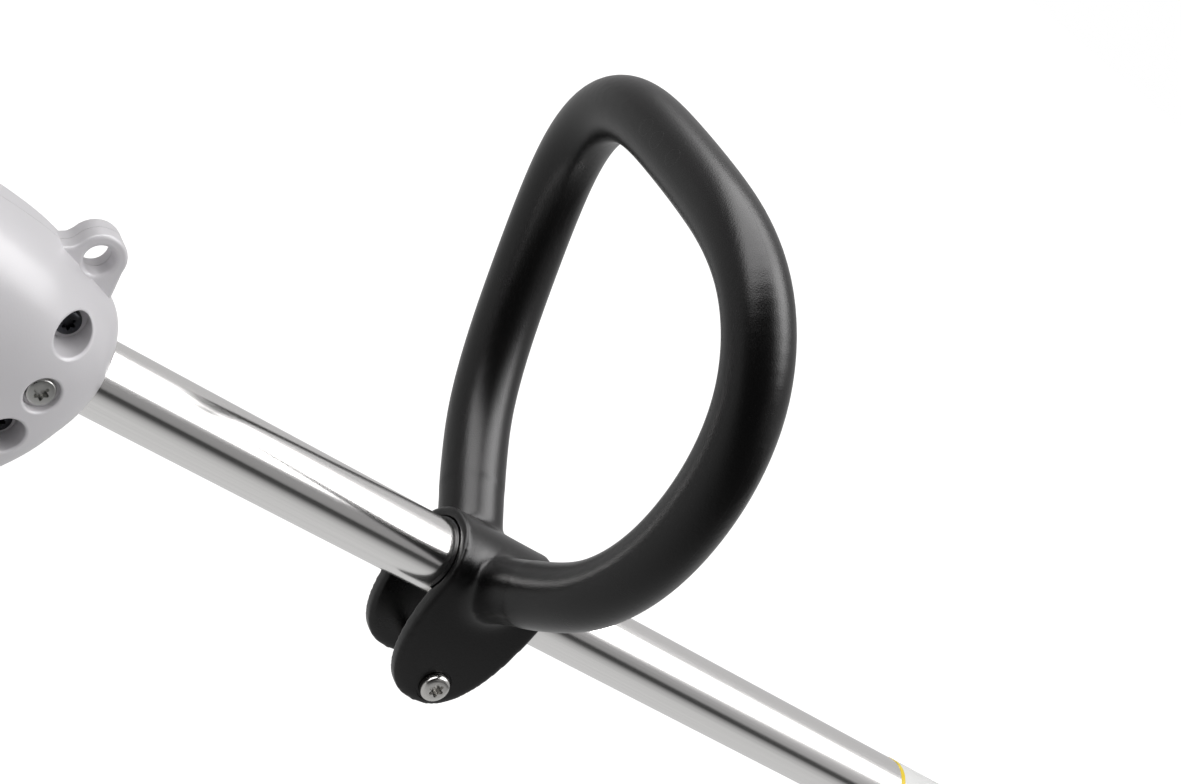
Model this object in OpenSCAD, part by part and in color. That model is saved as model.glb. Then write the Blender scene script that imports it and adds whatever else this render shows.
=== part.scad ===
// Cordless string trimmer with a loop handle on a straight tube.
// X runs along the tube towards the cutting head, Z is up, Y is across.
// The machine lies on its rear skids and on the lower edge of its deflector.

/* [Tube and drive] */
// Outside diameter of the tube
tube_d = 25.4; // [24:0.2:27]
// Wall thickness of the tube
tube_wall = 1.6; // [1.2:0.1:2.4]
// Free length of tube between the housing and the gear head
tube_reach = 1012; // [700:1:1200]
// Length of tube held inside the housing
tube_held = 56; // [50:1:58]
// Diameter of the steel drive shaft
shaft_d = 7; // [6:0.5:8]
// Number of bushes that carry the drive shaft in the tube
bush_count = 4; // [3:1:6]
// Length of one bush
bush_len = 16; // [10:1:30]
// Distance from the nose of the housing to the tube label
label_pos = 392.6; // [380:1:450]
// Length of the tube label
label_len = 96; // [60:1:140]
// Thickness of the tube label
label_t = 0.15; // [0.1:0.05:0.3]

/* [Housing] */
// Wall thickness of the housing
wall = 2.6; // [2.2:0.1:3]
// Half width of the housing over the motor
body_half_w = 34; // [32:0.5:38]
// Height of the housing's back above the tube axis
body_top = 37; // [35:0.5:40]
// Depth of the housing's belly below the tube axis
belly = 62; // [58:1:68]
// Thickness of a rib inside the housing
rib_t = 3; // [2:0.5:4]
// Distance of the hanging eye behind the nose
eye_back = 22.3; // [20:0.1:26]
// Height of the hanging eye above the tube axis
eye_rise = 35.4; // [34:0.1:38]
// Outside radius of the hanging eye
eye_r = 8.7; // [8:0.1:10]
// Thickness of the hanging eye across both shells
eye_t = 11.5; // [10:0.5:14]
// Bore of the hanging eye
eye_bore = 9.5; // [8:0.5:11]
// Number of cooling slots in each side
vent_count = 6; // [3:1:7]
// Width of a cooling slot
vent_w = 3; // [2:0.5:4]

/* [Motor] */
// Outside diameter of the motor
motor_d = 46; // [42:1:48]
// Length of the stator
stator_len = 42; // [36:1:44]
// Diameter of the rotor
rotor_d = 25; // [22:0.5:27]
// Diameter of the motor shaft
motor_shaft_d = 5; // [4:0.5:6]
// Thickness of a motor end cap
cap_t = 6; // [5:0.5:7]
// Diameter of the cooling fan
fan_d = 42; // [36:1:46]

/* [Rear grip] */
// Half width of the grip
grip_half_w = 17; // [15:0.5:19]
// Height of the grip's top above the tube axis
grip_top = 32; // [30:0.5:34]
// Depth of the grip's underside below the tube axis
grip_low = 7; // [6:0.5:9]
// Width of the trigger
trigger_w = 12; // [9:0.5:14]
// Width of the lock-out lever
lever_w = 11; // [9:0.5:13]
// Diameter of the hinge pins in the grip
pin_d = 4; // [3:0.5:5]
// Half width of the guard bow under the hand
bow_half_w = 12; // [10:0.5:15]
// Depth of the guard bow's section
bow_t = 17; // [14:0.5:20]

/* [Battery] */
// Length of the battery pack
pack_len = 106; // [100:1:120]
// Height of the battery pack
pack_h = 86; // [84:0.5:88]
// Half width of the battery pack
pack_half_w = 33.4; // [32.5:0.1:33.6]
// Wall thickness of the battery pack's case
pack_wall = 2.4; // [2:0.1:3]
// Diameter of a battery cell
cell_d = 18.4; // [18:0.1:18.6]
// Length of a battery cell
cell_len = 65; // [60:1:70]

/* [Loop handle] */
// Distance from the nose of the housing to the handle's sleeve
handle_pos = 148; // [120:1:200]
// Length of the sleeve along the tube
sleeve_len = 45.3; // [40:0.1:52]
// Outside radius of the sleeve
sleeve_r = 17.6; // [17:0.1:19]
// Wall thickness of the sleeve liner
liner_t = 0.8; // [0.6:0.1:1.2]
// Thickness of one clamp ear
ear_t = 5.7; // [4.5:0.1:6.5]
// Depth of the clamp ears below the tube axis
ear_depth = 44.5; // [43:0.5:50]
// Radius of the loop's round section
loop_r = 11.7; // [10:0.1:13]
// Height of the loop's centre above the tube axis
loop_mid = 86; // [80:1:95]
// How far the top of the loop leans back
loop_lean = 44; // [20:1:60]
// Distance of the clamp screw from the sleeve's rear rim
clamp_x = 25.5; // [22:0.5:28]
// Depth of the clamp screw below the tube axis
clamp_z = 35.9; // [34:0.1:37]
// Diameter of the clamp screw's thread
clamp_screw_d = 5.8; // [5:0.1:6]
// Diameter of the clamp screw's head
clamp_head_d = 10.8; // [10:0.1:12]

/* [Gear head] */
// Lean of the cutting head from square to the tube, in degrees
tilt = 28; // [24:1:32]
// Depth of the tube's socket in the gear head
socket_len = 34; // [28:1:40]
// Wall thickness of the tube's socket
socket_wall = 3.8; // [3:0.1:4]
// Outside radius of the gear head's barrel
barrel_r = 19; // [18.5:0.5:22]
// Number of teeth on the pinion
pinion_teeth = 12; // [12:1:12]
// Number of teeth on the driven gear
gear_teeth = 17; // [17:1:17]
// Tooth module at the large end of the gears
gear_module = 1.5; // [1.4:0.05:1.55]
// Face width of the gear teeth along the shaft
face_w = 6.5; // [5:0.5:7]
// Diameter of the cutting head's spindle
spindle_d = 10; // [9:0.5:11]

/* [Cutting head] */
// Outside radius of the cutting head
head_r = 46; // [42:0.5:50]
// Height of the cutting head's cup
cup_h = 34; // [32:0.5:38]
// Wall thickness of the cup
cup_wall = 3; // [2.4:0.1:3.6]
// Radius of the bump knob
knob_r = 24; // [20:0.5:27]
// How far the bump knob can be pressed in
knob_travel = 6; // [4:0.5:7]
// Diameter of the cutting line
line_d = 2.4; // [2:0.1:3]
// Distance of a line end from the head's axis
line_reach = 110; // [90:1:114]

/* [Deflector] */
// Radius of the deflector
guard_r = 125; // [120:1:140]
// Distance of the deflector's straight rear edge from the head's axis
guard_chord = 118; // [114:0.5:119]
// Depth of the deflector's skirt
skirt_h = 36; // [32:1:42]
// Wall thickness of the deflector
guard_t = 3; // [2.5:0.1:4]
// Half of the angle that the deflector spans
guard_half_angle = 72; // [60:1:80]

/* [Fits] */
// Running clearance of a shaft or pin in its bore, per side
run_gap = 0.05; // [0.03:0.01:0.08]
// Clearance between a moving piece and what it passes, per side
slide_gap = 0.5; // [0.4:0.05:0.6]

/* [Hidden] */
$fn = 48;
eps = 0.01;
tube_r = tube_d / 2;
tube_bore_r = tube_r - tube_wall;
tube_front = tube_reach + socket_len;

// Bearings, as outside diameter, bore and width
shaft_bearing = [22, 8, 7];
motor_bearing = [16, motor_shaft_d, 5];
lower_bearing = [26, spindle_d, 8];
upper_bearing = [22, 8, 7];

// Gear cones
shaft_angle = 90 - tilt;
pinion_cone = atan2(sin(shaft_angle), gear_teeth / pinion_teeth + cos(shaft_angle));
gear_cone = shaft_angle - pinion_cone;
pinion_pitch_r = gear_module * pinion_teeth / 2;
gear_pitch_r = gear_module * gear_teeth / 2;
pinion_h = pinion_pitch_r / tan(pinion_cone);
gear_h = gear_pitch_r / tan(gear_cone);
bearing_stop = 2;
pinion_back = 10.5;
pinion_grip = 9;
shaft_end_d = shaft_d - 2;
apex_x = tube_front + bearing_stop + shaft_bearing[2] + pinion_back + pinion_h;

// Levels along the spindle, measured from the gears' apex, up positive
gear_back = 3;
upper_low = gear_h + gear_back + 0.5;
upper_high = upper_low + upper_bearing[2];
cover_top = upper_high + 4;
lower_high = -12;
lower_low = lower_high - lower_bearing[2];
barrel_low = lower_low - 3;
cover_screw_angles = [0, 120, 240];
cover_seat = 3.4;
flange_r = 30;
flange_t = 4;
guard_top = barrel_low;
washer_top = guard_top - guard_t - 4.5;
washer_t = 3;
washer_r = 22;
washer_hub = [9, 2.5];
cup_top = washer_top - washer_t;
cup_roof = 4;
cup_low = cup_top - cup_h;
cover_t = 5;
spool_gap = 2;
spool_top = cup_top - cup_roof - spool_gap - knob_travel;
flange_thick = 2;
spool_low = cup_low + 1.5;
spool_r = head_r - cup_wall - 2.5;
spool_core_r = 16;
post_r = 6;
sleeve_wall = 2;
knob_low = cup_low - cover_t - 20;
eyelet_z = (spool_top + spool_low) / 2;
eyelet_r = 4;
skirt_low = guard_top - guard_t - skirt_h;

// Height of the tube axis above the ground, set by the deflector's straight rear edge
axis_h = guard_chord * sin(tilt) - skirt_low * cos(tilt);

// Rear unit, as distances behind the nose and heights from the tube axis
foot_out = 2.2;
base_z = -axis_h + foot_out;
block_front = -300;
bay_front = -330;
bay_gap = 0.5;
bay_floor = base_z + 3.3;
bay_roof = bay_floor + pack_h + 2 * bay_gap;
bay_half_w = pack_half_w + bay_gap;
block_half_w = bay_half_w + 3;
block_rear = bay_front - pack_len - 1;
pack_front = bay_front - 1.5;
pack_rear = pack_front - pack_len - 3;
round_power = 5;
rear_x = pack_rear;
front_x = apex_x + head_r * cos(tilt) - (cup_low - cover_t) * sin(tilt);
origin_x = -(rear_x + front_x) / 2;

// Motor, along the tube axis
motor_front = -84;
stator_front = motor_front - cap_t;
stator_rear = stator_front - stator_len;
motor_rear = stator_rear - cap_t;
fan_t = 9;
fan_hub_d = 12;
fan_blade_t = 1.2;
fan_front = motor_front + 1 + fan_t;
coupling_d = 14;
coupling_rear = fan_front + 1;
coupling_front = -tube_held - 1.5;
shaft_rear = coupling_rear + 7;

// Grip controls
trigger_x = -196;
trigger_z = -1;
lever_x = -252;
lever_z = 24;
slot_gap = 0.7;

// Shell screws: distance behind the nose, height, and depth of the head's seat off centre
shell_screws = [[-24.3, 18.1, 21], [-24, -18, 19], [-72, -46, 14], [-152, -40, 14],
    [-152, 26, 14], [-208, 23, 7], [-276, 2, 8]];
screw_d = 3.9;
screw_head_d = 8.6;
sink_d = 11.2;
tube_screw_x = -22.6;
tube_screw_z = -1.2;
tube_screw_head = 9.4;
tube_screw_sink = 13.4;
tube_screw_seat = 28.9;
tube_screw_h = 1.9;
tube_screw_d = 4.5;
tube_screw_play = 0.8;
tube_screw_len = 17;
pilot_play = 0.6;
deep_seat = 10;
far = 60;
over = 1;

// Ribs, posts and ledges inside the shells
nose_ribs = [-16, -37, -58];
motor_ribs = [stator_front - 8, stator_rear + 5];
rib_low = -70;
rib_half_w = 40;
rib_window = [27, -30];
screw_post_wall = 3;
sink_post_wall = 2;
pin_post_wall = 2.5;
pin_post_start = trigger_w / 2 + 4.4;
pin_half_len = trigger_w / 2 + 6.8;
pin_end_play = 0.2;
eye_chamfer = 2;
coupling_room = 2;
trigger_slot = [-53, 6.5];
lever_slot = [-41, 6.5];
vent_first = -88;
vent_pitch = 8;
vent_lean = 18;
vent_half_h = 14;
vent_z = 6;

// Control board under the motor and the switch under the trigger
board_half_w = 23;
board_t = 1.6;
board_z = -51;
ledge_t = 4;
chip = [8, 8, 4.4];
chip_pitch = 12;
can_d = 10;
can_h = 14;
can_pitch = 16;
switch_x = [-245, -222];
switch_half_w = 6;
switch_low = 14.6;
switch_high = 25;
button_x = [-238, -232];
button_half_w = 3;
switch_ledge_t = 2.6;

module at_tube() translate([origin_x, 0, axis_h]) children();
module at_head() at_tube() translate([apex_x, 0, 0]) rotate([0, -tilt, 0]) children();
module xcyl(x, len, d) translate([x, 0, 0]) rotate([0, 90, 0]) cylinder(h = len, d = d);
module ycyl(x, z, y, len, d) translate([x, y, z]) rotate([-90, 0, 0]) cylinder(h = len, d = d);
module zring(z, len, d_out, d_in) translate([0, 0, z]) difference() {
    cylinder(h = len, d = d_out);
    translate([0, 0, -over]) cylinder(h = len + 2 * over, d = d_in);
}
module box(lo, hi) translate(lo) cube(hi - lo);

// Superellipse ring in a plane across the tube: r = [x, top, bottom, half width, power]
function power_of(v, p) = sign(v) * pow(abs(v), 2 / p);
function ring(r, n) = [for (i = [0 : n - 1]) let (a = 360 * i / n)
    [r[0], r[3] * power_of(cos(a), r[4]),
        (r[1] + r[2]) / 2 + (r[1] - r[2]) / 2 * power_of(sin(a), r[4])]];
function inset(rings, w) = [for (r = rings) [r[0], r[1] - w, r[2] + w, r[3] - w, r[4]]];
// Half ring on the -Y side, from top to bottom, closed along y = edge
function half_ring(r, n, edge) = [for (i = [0 : n]) let (a = 90 + 180 * i / n)
    [r[0], i == 0 || i == n ? edge : r[3] * power_of(cos(a), r[4]),
        (r[1] + r[2]) / 2 + (r[1] - r[2]) / 2 * power_of(sin(a), r[4])]];

// Closed skin over a list of point rings of equal length, turned over where the rings run the other way
module skin(rings, turned = false) {
    n = len(rings[0]);
    m = len(rings);
    faces = concat([[for (i = [0 : n - 1]) i]],
        [for (j = [0 : m - 2]) for (i = [0 : n - 1]) let (k = (i + 1) % n) each [
            [j * n + i, (j + 1) * n + i, (j + 1) * n + k],
            [j * n + i, (j + 1) * n + k, j * n + k]]],
        [[for (i = [n - 1 : -1 : 0]) (m - 1) * n + i]]);
    polyhedron(points = [for (r = rings) each r], convexity = 6,
        faces = turned ? [for (f = faces) [for (i = [len(f) - 1 : -1 : 0]) f[i]]] : faces);
}
module loft(rings, n = 20) skin([for (r = rings) ring(r, n)], true);
module half_loft(rings, edge = 0, n = 10) skin([for (r = rings) half_ring(r, n, edge)], true);

// Spine of the housing, nose first: motor body, then the grip and the flare where the dock joins
joint_ring = [block_front, grip_top + 1, -30, block_half_w - 9, 3];
spine = [
    [0, 14.2, -14.8, 14.2, 2], [-2.5, 19, -21.5, 19, 2], [-6, 23.4, -27, 23.6, 2.1],
    [-11, 26.4, -36, 27.6, 2.3], [-18, 28.8, -44.5, 30.2, 2.5], [-27, 31.6, -50, 31.5, 2.6],
    [-40, 34.6, -54, 32.3, 2.8], [-62, body_top - 0.6, -belly + 4, body_half_w - 1, 3],
    [-105, body_top, -belly, body_half_w, 3.2], [-140, body_top, -belly, body_half_w - 0.5, 3.2],
    [-160, body_top - 1.5, -belly + 10, body_half_w - 4, 3],
    [-176, body_top - 3, -belly + 32, body_half_w - 11, 2.7],
    [-190, grip_top + 1, -grip_low - 5, grip_half_w + 1.5, 2.5],
    [-214, grip_top, -grip_low, grip_half_w, 2.4],
    [-266, grip_top + 1, -grip_low + 1, grip_half_w + 0.5, 2.4],
    [-286, grip_top + 2, -grip_low - 5, grip_half_w + 4, 2.6], joint_ring];

// Dock that carries the battery, from the joint back to the open end of its bay
dock = [joint_ring,
    [block_front - 5, grip_top, -72, block_half_w - 5, 3.2],
    [block_front - 12, grip_top - 2, base_z + 8, block_half_w - 2, 4],
    [block_front - 22, grip_top - 4, base_z, block_half_w, round_power],
    [bay_front - 40, 14, base_z, block_half_w, round_power],
    [block_rear + 4, bay_roof + 12, base_z, block_half_w, round_power],
    [block_rear, bay_roof + 9, base_z + 1, block_half_w - 1, round_power]];
dock_hollow = [inset([joint_ring], wall)[0] + [1, 0, 0, 0, 0],
    [block_front - 5, grip_top - wall, -64, block_half_w - 5 - wall, 3.2],
    [block_front - 13, grip_top - 3 - wall, base_z + 14, block_half_w - 4 - wall, 4],
    [bay_front + 3, grip_top - 8 - wall, base_z + 6, block_half_w - wall - 1, round_power]];
window_half_w = 23;
window_z = [-35, -7];
notch_half_w = 13;
notch_h = 6;
notch_len = 16;
bay = [
    [bay_front, bay_roof, bay_floor, bay_half_w, round_power],
    [block_rear - 5, bay_roof, bay_floor, bay_half_w, round_power]];

// Guard bow under the hand, as centre points behind the nose
bow_end_z = base_z + bow_t / 2 + 3;
bow = [[-124, -50], [-140, -57], [-160, -65], [-190, -76], [-225, bow_end_z + 8], [-262, bow_end_z + 3],
    [-300, bow_end_z + 0.5], [-316, bow_end_z]];
module bow_bar() {
    last = len(bow) - 1;
    n = 16;
    skin([for (i = [0 : last]) let (d = bow[min(i + 1, last)] - bow[max(i - 1, 0)], t = d / norm(d))
        [for (k = [0 : n - 1]) let (a = -360 * k / n, u = bow_t / 2 * power_of(sin(a), 2.6))
            [bow[i][0] - t[1] * u, bow_half_w * power_of(cos(a), 2.6), bow[i][1] + t[0] * u]]], true);
}

// Eye outline: a round head on a web that spreads into the housing
module eye_solid() {
    rotate([90, 0, 0]) linear_extrude(eye_t / 2) union() {
        translate([-eye_back, eye_rise]) circle(r = eye_r);
        polygon([[-eye_back - eye_r, eye_rise], [-eye_back + eye_r * 0.99, eye_rise + 1],
            [-eye_back + eye_r + 3, 22], [-eye_back - eye_r - 9, 22], [-eye_back - eye_r - 8, 31.5],
            [-eye_back - eye_r - 2.5, 33.5]]);
    }
}

// Everything that stands inside the shell: ribs, screw posts, pin posts and ledges
module inner_posts(side) {
    for (x = nose_ribs) box([x, -rib_half_w, -far], [x + rib_t, rib_half_w, rib_half_w]);
    for (x = motor_ribs) difference() {
        box([x, -rib_half_w, rib_low], [x + rib_t, rib_half_w, rib_half_w]);
        xcyl(x - over, rib_t + 2 * over, motor_d + 2 * run_gap);
        box([x - over, -rib_window[0], rib_low], [x + rib_t + over, rib_window[0], rib_window[1]]);
    }
    for (s = shell_screws) ycyl(s[0], s[1], -rib_half_w, 2 * rib_half_w, screw_d + 2 * screw_post_wall);
    if (side < 0) for (s = shell_screws)
        ycyl(s[0], s[1], -rib_half_w, rib_half_w - s[2] + screw_post_wall, sink_d + 2 * sink_post_wall);
    for (p = [[trigger_x, trigger_z], [lever_x, lever_z]]) for (m = [0, 1]) mirror([0, m, 0])
        ycyl(p[0], p[1], pin_post_start, body_half_w, pin_d + 2 * pin_post_wall);
    for (m = [0, 1]) mirror([0, m, 0]) {
        box([stator_rear, board_half_w - over, board_z - ledge_t], [stator_front, rib_half_w, board_z]);
        box([switch_x[0], switch_half_w - over, switch_low - switch_ledge_t],
            [switch_x[1], body_half_w, switch_low]);
    }
}

// Depth of a screw's pilot hole past the parting plane, deeper where its seat is deep
function pilot_depth(s) = s[2] > deep_seat ? 16 : 10;
module shell_cuts(side) {
    // Tube seat through the nose ribs, open behind for the coupling
    xcyl(-tube_held, tube_held + tube_d, tube_d + 2 * run_gap);
    xcyl(nose_ribs[2] - 4, 6.5, coupling_d + 2 * coupling_room);
    // Hanging eye
    ycyl(-eye_back, eye_rise, -eye_t, 2 * eye_t, eye_bore);
    for (m = [0, 1]) mirror([0, m, 0]) translate([-eye_back, eye_t / 2 - 0.6, eye_rise]) rotate([-90, 0, 0])
        cylinder(h = eye_chamfer, d1 = eye_bore, d2 = eye_bore + 2 * eye_chamfer);
    // Screw holes: sunk seats on the left, pilot holes on the right
    for (s = shell_screws) {
        if (side < 0) {
            ycyl(s[0], s[1], -far, far - s[2], sink_d);
            ycyl(s[0], s[1], -far, far + over, screw_d + pilot_play);
        } else ycyl(s[0], s[1], -pilot_depth(s), pilot_depth(s) + over, screw_d + 2 * run_gap);
    }
    if (side < 0) {
        ycyl(tube_screw_x, tube_screw_z, -far, far - tube_screw_seat + tube_screw_h, tube_screw_sink);
        ycyl(tube_screw_x, tube_screw_z, -far, far - tube_bore_r, tube_screw_d + tube_screw_play);
    }
    // Trigger slot, lever slot and the bores of their pins
    box([trigger_x + trigger_slot[0], -trigger_w / 2 - slot_gap, -far],
        [trigger_x + trigger_slot[1], trigger_w / 2 + slot_gap, trigger_z + 5]);
    box([lever_x + lever_slot[0], -lever_w / 2 - slot_gap, lever_z - 4],
        [lever_x + lever_slot[1], lever_w / 2 + slot_gap, far]);
    for (p = [[trigger_x, trigger_z], [lever_x, lever_z]])
        ycyl(p[0], p[1], -pin_half_len - pin_end_play, 2 * (pin_half_len + pin_end_play),
            pin_d + 2 * run_gap);
    // Cooling slots
    for (i = [0 : vent_count - 1]) translate([vent_first - i * vent_pitch, 0, vent_z]) rotate([0,
        vent_lean, 0])
        box([-vent_w / 2, -far, -vent_half_h], [vent_w / 2, far, vent_half_h]);
}

module shell_half(side) mirror([0, side < 0 ? 0 : 1, 0]) difference() {
    union() {
        half_loft(spine);
        eye_solid();
    }
    difference() {
        half_loft(concat(inset([for (i = [2 : len(spine) - 1]) spine[i]], wall),
            inset([joint_ring + [-2, 0, 0, 0, 0]], wall)), 1);
        inner_posts(side);
    }
    shell_cuts(side);
}

module housing_left() color("gainsboro") at_tube() shell_half(-1);
module housing_right() color("gainsboro") at_tube() shell_half(1);
module battery_dock() color("gainsboro") at_tube() difference() {
    loft(dock);
    loft(dock_hollow);
    loft(bay);
    // Window for the contacts, pockets of the skids and the notch of the battery latch
    box([bay_front - 2, -window_half_w, bay_roof + window_z[0]], [bay_front + 6, window_half_w,
        bay_roof + window_z[1]]);
    skid_shapes();
    box([block_rear - 10, -notch_half_w, bay_roof - notch_h], [block_rear + notch_len, notch_half_w,
        bay_roof + notch_h]);
}
// The bow ends where it meets the belly and the dock
module hand_guard() color("dimgray") at_tube() difference() {
    bow_bar();
    for (m = [0, 1]) mirror([0, m, 0]) half_loft(spine);
    loft(dock);
}

// Rubber skids under the battery bay, sunk a little into its floor
skid_w = 9;
skid_len = 78;
skid_y = 17;
skid_start = 14;
skid_sunk = 1.4;
module skid_shapes() for (m = [0, 1]) mirror([0, m, 0]) box([block_rear + skid_start, skid_y, -axis_h],
    [block_rear + skid_start + skid_len, skid_y + skid_w, base_z + skid_sunk]);
module base_skids() color("dimgray") at_tube() skid_shapes();

// Screw with a round head and a six-lobed socket, head at y = -seat, pointing to +Y
lobe_reach = 0.32;
lobe_d = 0.34;
socket_share = 0.46;
socket_depth = 1.6;
socket_core_h = 3;
module socket_cut(d, depth) for (a = [0 : 60 : 300]) rotate([0, 0, a])
    translate([d * lobe_reach, 0, -depth]) cylinder(h = depth + over, d = d * lobe_d, $fn = 24);
module y_screw(x, z, seat, len, d, head_d, head_h) translate([x, -seat, z]) rotate([90, 0, 0])
    difference() {
    union() {
        cylinder(h = head_h, d = head_d);
        translate([0, 0, -len]) cylinder(h = len + eps, d = d);
    }
    translate([0, 0, head_h]) {
        cylinder(h = socket_core_h, d = head_d * 0.3, center = true);
        socket_cut(head_d * socket_share, socket_depth);
    }
}
shell_head_h = 3;
module shell_screws() color("black") at_tube() for (s = shell_screws)
    y_screw(s[0], s[1], s[2], s[2] + pilot_depth(s) - 2, screw_d, screw_head_d, shell_head_h);
module tube_screw() color("silver") at_tube()
    y_screw(tube_screw_x, tube_screw_z, tube_screw_seat - tube_screw_h, tube_screw_len, tube_screw_d,
        tube_screw_head, tube_screw_h);

module drive_tube() color("silver") at_tube() difference() {
    xcyl(-tube_held, tube_held + tube_front, tube_d);
    xcyl(-tube_held - over, tube_held + tube_front + 2 * over, 2 * tube_bore_r);
    // Hole for the locating screw
    ycyl(tube_screw_x, tube_screw_z, -tube_d, tube_d - 5, tube_screw_d + 4 * run_gap);
}
module tube_label() color("white") at_tube() difference() {
    xcyl(label_pos, label_len, tube_d + 2 * label_t);
    xcyl(label_pos - over, label_len + 2 * over, tube_d);
}
bush_start = 40;
bush_flute_w = 3.2;
bush_flute_depth = 3.5;
module shaft_bushes() color("ivory") at_tube() for (i = [0 : bush_count - 1])
    difference() {
        x = -tube_held + bush_start + i * (tube_front - bush_start) / (bush_count - 1);
        xcyl(x, bush_len, 2 * (tube_bore_r - run_gap));
        xcyl(x - over, bush_len + 2 * over, shaft_d + 2 * run_gap);
        for (a = [0 : 90 : 270]) rotate([a, 0, 0]) box([x - over, -bush_flute_w / 2,
            tube_bore_r - bush_flute_depth],
            [x + bush_len + over, bush_flute_w / 2, tube_bore_r + over]);
    }
module drive_shaft() color("gray") at_tube() {
    xcyl(shaft_rear, tube_front - shaft_rear, shaft_d);
    xcyl(tube_front - over, pinion_grip + over, shaft_end_d);
}

// Coupling that joins the motor shaft to the drive shaft
module shaft_coupling() color("darkgray") at_tube() difference() {
    xcyl(coupling_rear, coupling_front - coupling_rear, coupling_d);
    xcyl(shaft_rear, tube_held, shaft_d);
    xcyl(coupling_rear - over, shaft_rear - coupling_rear + over + eps, motor_shaft_d);
}
module motor_fan() color("dimgray") at_tube() translate([fan_front - fan_t, 0, 0]) rotate([0, 90, 0]) {
    difference() {
        union() {
            cylinder(h = 1.6, d = fan_d);
            cylinder(h = fan_t, d = fan_hub_d);
            for (a = [0 : 30 : 330]) rotate([0, 0, a]) translate([fan_hub_d / 2 - 1, -fan_blade_t / 2, 0])
                cube([fan_d / 2 - fan_hub_d / 2 + 0.4, fan_blade_t, fan_t - over]);
        }
        translate([0, 0, -over]) cylinder(h = fan_t + 2 * over, d = motor_shaft_d);
    }
}
rotor_play = 1;
air_gap = 0.5;
stator_slot = [6, 2];
cap_vent_d = 6;
module motor_rotor() color("slategray") at_tube() {
    xcyl(stator_rear + rotor_play, stator_len - 2 * rotor_play, rotor_d);
    xcyl(motor_rear - 2, shaft_rear - motor_rear + 2 - eps, motor_shaft_d);
}
module motor_stator() color("peru") at_tube() translate([stator_rear, 0, 0]) rotate([0, 90, 0])
    difference() {
    cylinder(h = stator_len, d = motor_d);
    translate([0, 0, -over]) cylinder(h = stator_len + 2 * over, d = rotor_d + 2 * air_gap);
    for (a = [0 : 60 : 300]) rotate([0, 0, a + 30]) translate([rotor_d / 2, -stator_slot[1] / 2, -over])
        cube([stator_slot[0], stator_slot[1], stator_len + 2 * over]);
}
module motor_end_caps() color("darkgray") at_tube() {
    for (x = [stator_front, motor_rear]) translate([x, 0, 0]) rotate([0, 90, 0]) difference() {
        cylinder(h = cap_t, d = motor_d);
        translate([0, 0, (cap_t - motor_bearing[2]) / 2]) cylinder(h = motor_bearing[2],
            d = motor_bearing[0]);
        translate([0, 0, -over]) cylinder(h = cap_t + 2 * over, d = motor_bearing[0] - 3);
        for (a = [0 : 60 : 300]) rotate([0, 0, a]) translate([motor_d / 2 - 7.5, 0, -over])
            cylinder(h = cap_t + 2 * over, d = cap_vent_d);
    }
}
// Plain ball bearing with sunk shields
shield_sunk = 0.5;
ring_share = 0.3;
module bearing(b) difference() {
    cylinder(h = b[2], d = b[0]);
    translate([0, 0, -over]) cylinder(h = b[2] + 2 * over, d = b[1] + 2 * run_gap);
    for (z = [-eps, b[2] - shield_sunk]) translate([0, 0, z]) difference() {
        cylinder(h = shield_sunk + eps, d = b[0] - (b[0] - b[1]) * ring_share);
        translate([0, 0, -over]) cylinder(h = 3 * over, d = b[1] + (b[0] - b[1]) * ring_share);
    }
}
module motor_bearings() color("silver") at_tube()
    for (x = [stator_front, motor_rear]) translate([x + (cap_t - motor_bearing[2]) / 2, 0, 0])
        rotate([0, 90, 0]) bearing(motor_bearing);

module control_board() color("darkgreen") at_tube() {
    face = board_z + board_t;
    box([stator_rear + over, -board_half_w, board_z], [stator_front - over, board_half_w, face]);
    for (i = [0 : 2]) translate([stator_rear + 6 + i * chip_pitch, -18, face]) cube(chip);
    for (i = [0 : 1]) translate([stator_rear + 12 + i * can_pitch, 10, face]) cylinder(h = can_h,
        d = can_d);
}

// Trigger, drawn in side view round its pivot
trigger_boss_r = 5;
lever_boss_r = 4.5;
module trigger() color("black") at_tube() translate([trigger_x, trigger_w / 2, trigger_z]) rotate([90,
    0, 0])
    difference() {
        union() {
            cylinder(h = trigger_w, r = trigger_boss_r);
            linear_extrude(trigger_w) polygon(concat([[0, 4.2], [3.2, 2], [4.2, -6], [3, -14]],
                [for (a = [-20 : -16 : -100]) [-5 + 7 * cos(a), -20 + 7 * sin(a)]],
                [[-14, -24.2], [-24, -20.8], [-34, -18.2], [-42, -14.5], [-46, -9], [-47, -3], [-40, 2]]));
        }
        translate([0, 0, -over]) cylinder(h = trigger_w + 2 * over, r = pin_d / 2 + run_gap);
    }
module trigger_pin() color("silver") at_tube()
    ycyl(trigger_x, trigger_z, -pin_half_len, 2 * pin_half_len, pin_d);
// Wound torsion spring beside a hinge, with one straight leg
hinge_wire = 0.4;
hinge_coil_h = 3.2;
hinge_coil_r = pin_d / 2 + 0.75;
spring_side_gap = 0.9;
module hinge_spring(x, z, y, leg, angle) translate([x, y, z]) rotate([-90, 0, 0]) {
    coil(hinge_coil_r, hinge_wire, 2.5, hinge_coil_h);
    rotate([0, 0, angle]) translate([hinge_coil_r - hinge_wire, 0, hinge_coil_h - 2 * hinge_wire])
        cube([2 * hinge_wire, leg, 2 * hinge_wire]);
}
module trigger_spring() color("silver") at_tube()
    hinge_spring(trigger_x, trigger_z, trigger_w / 2 + spring_side_gap, 12, 172);
module trigger_switch() color("dimgray") at_tube() {
    box([switch_x[0], -switch_half_w, switch_low], [switch_x[1], switch_half_w, switch_high]);
    box([button_x[0], -button_half_w, switch_low - button_half_w], [button_x[1], button_half_w,
        switch_low]);
}
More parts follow.
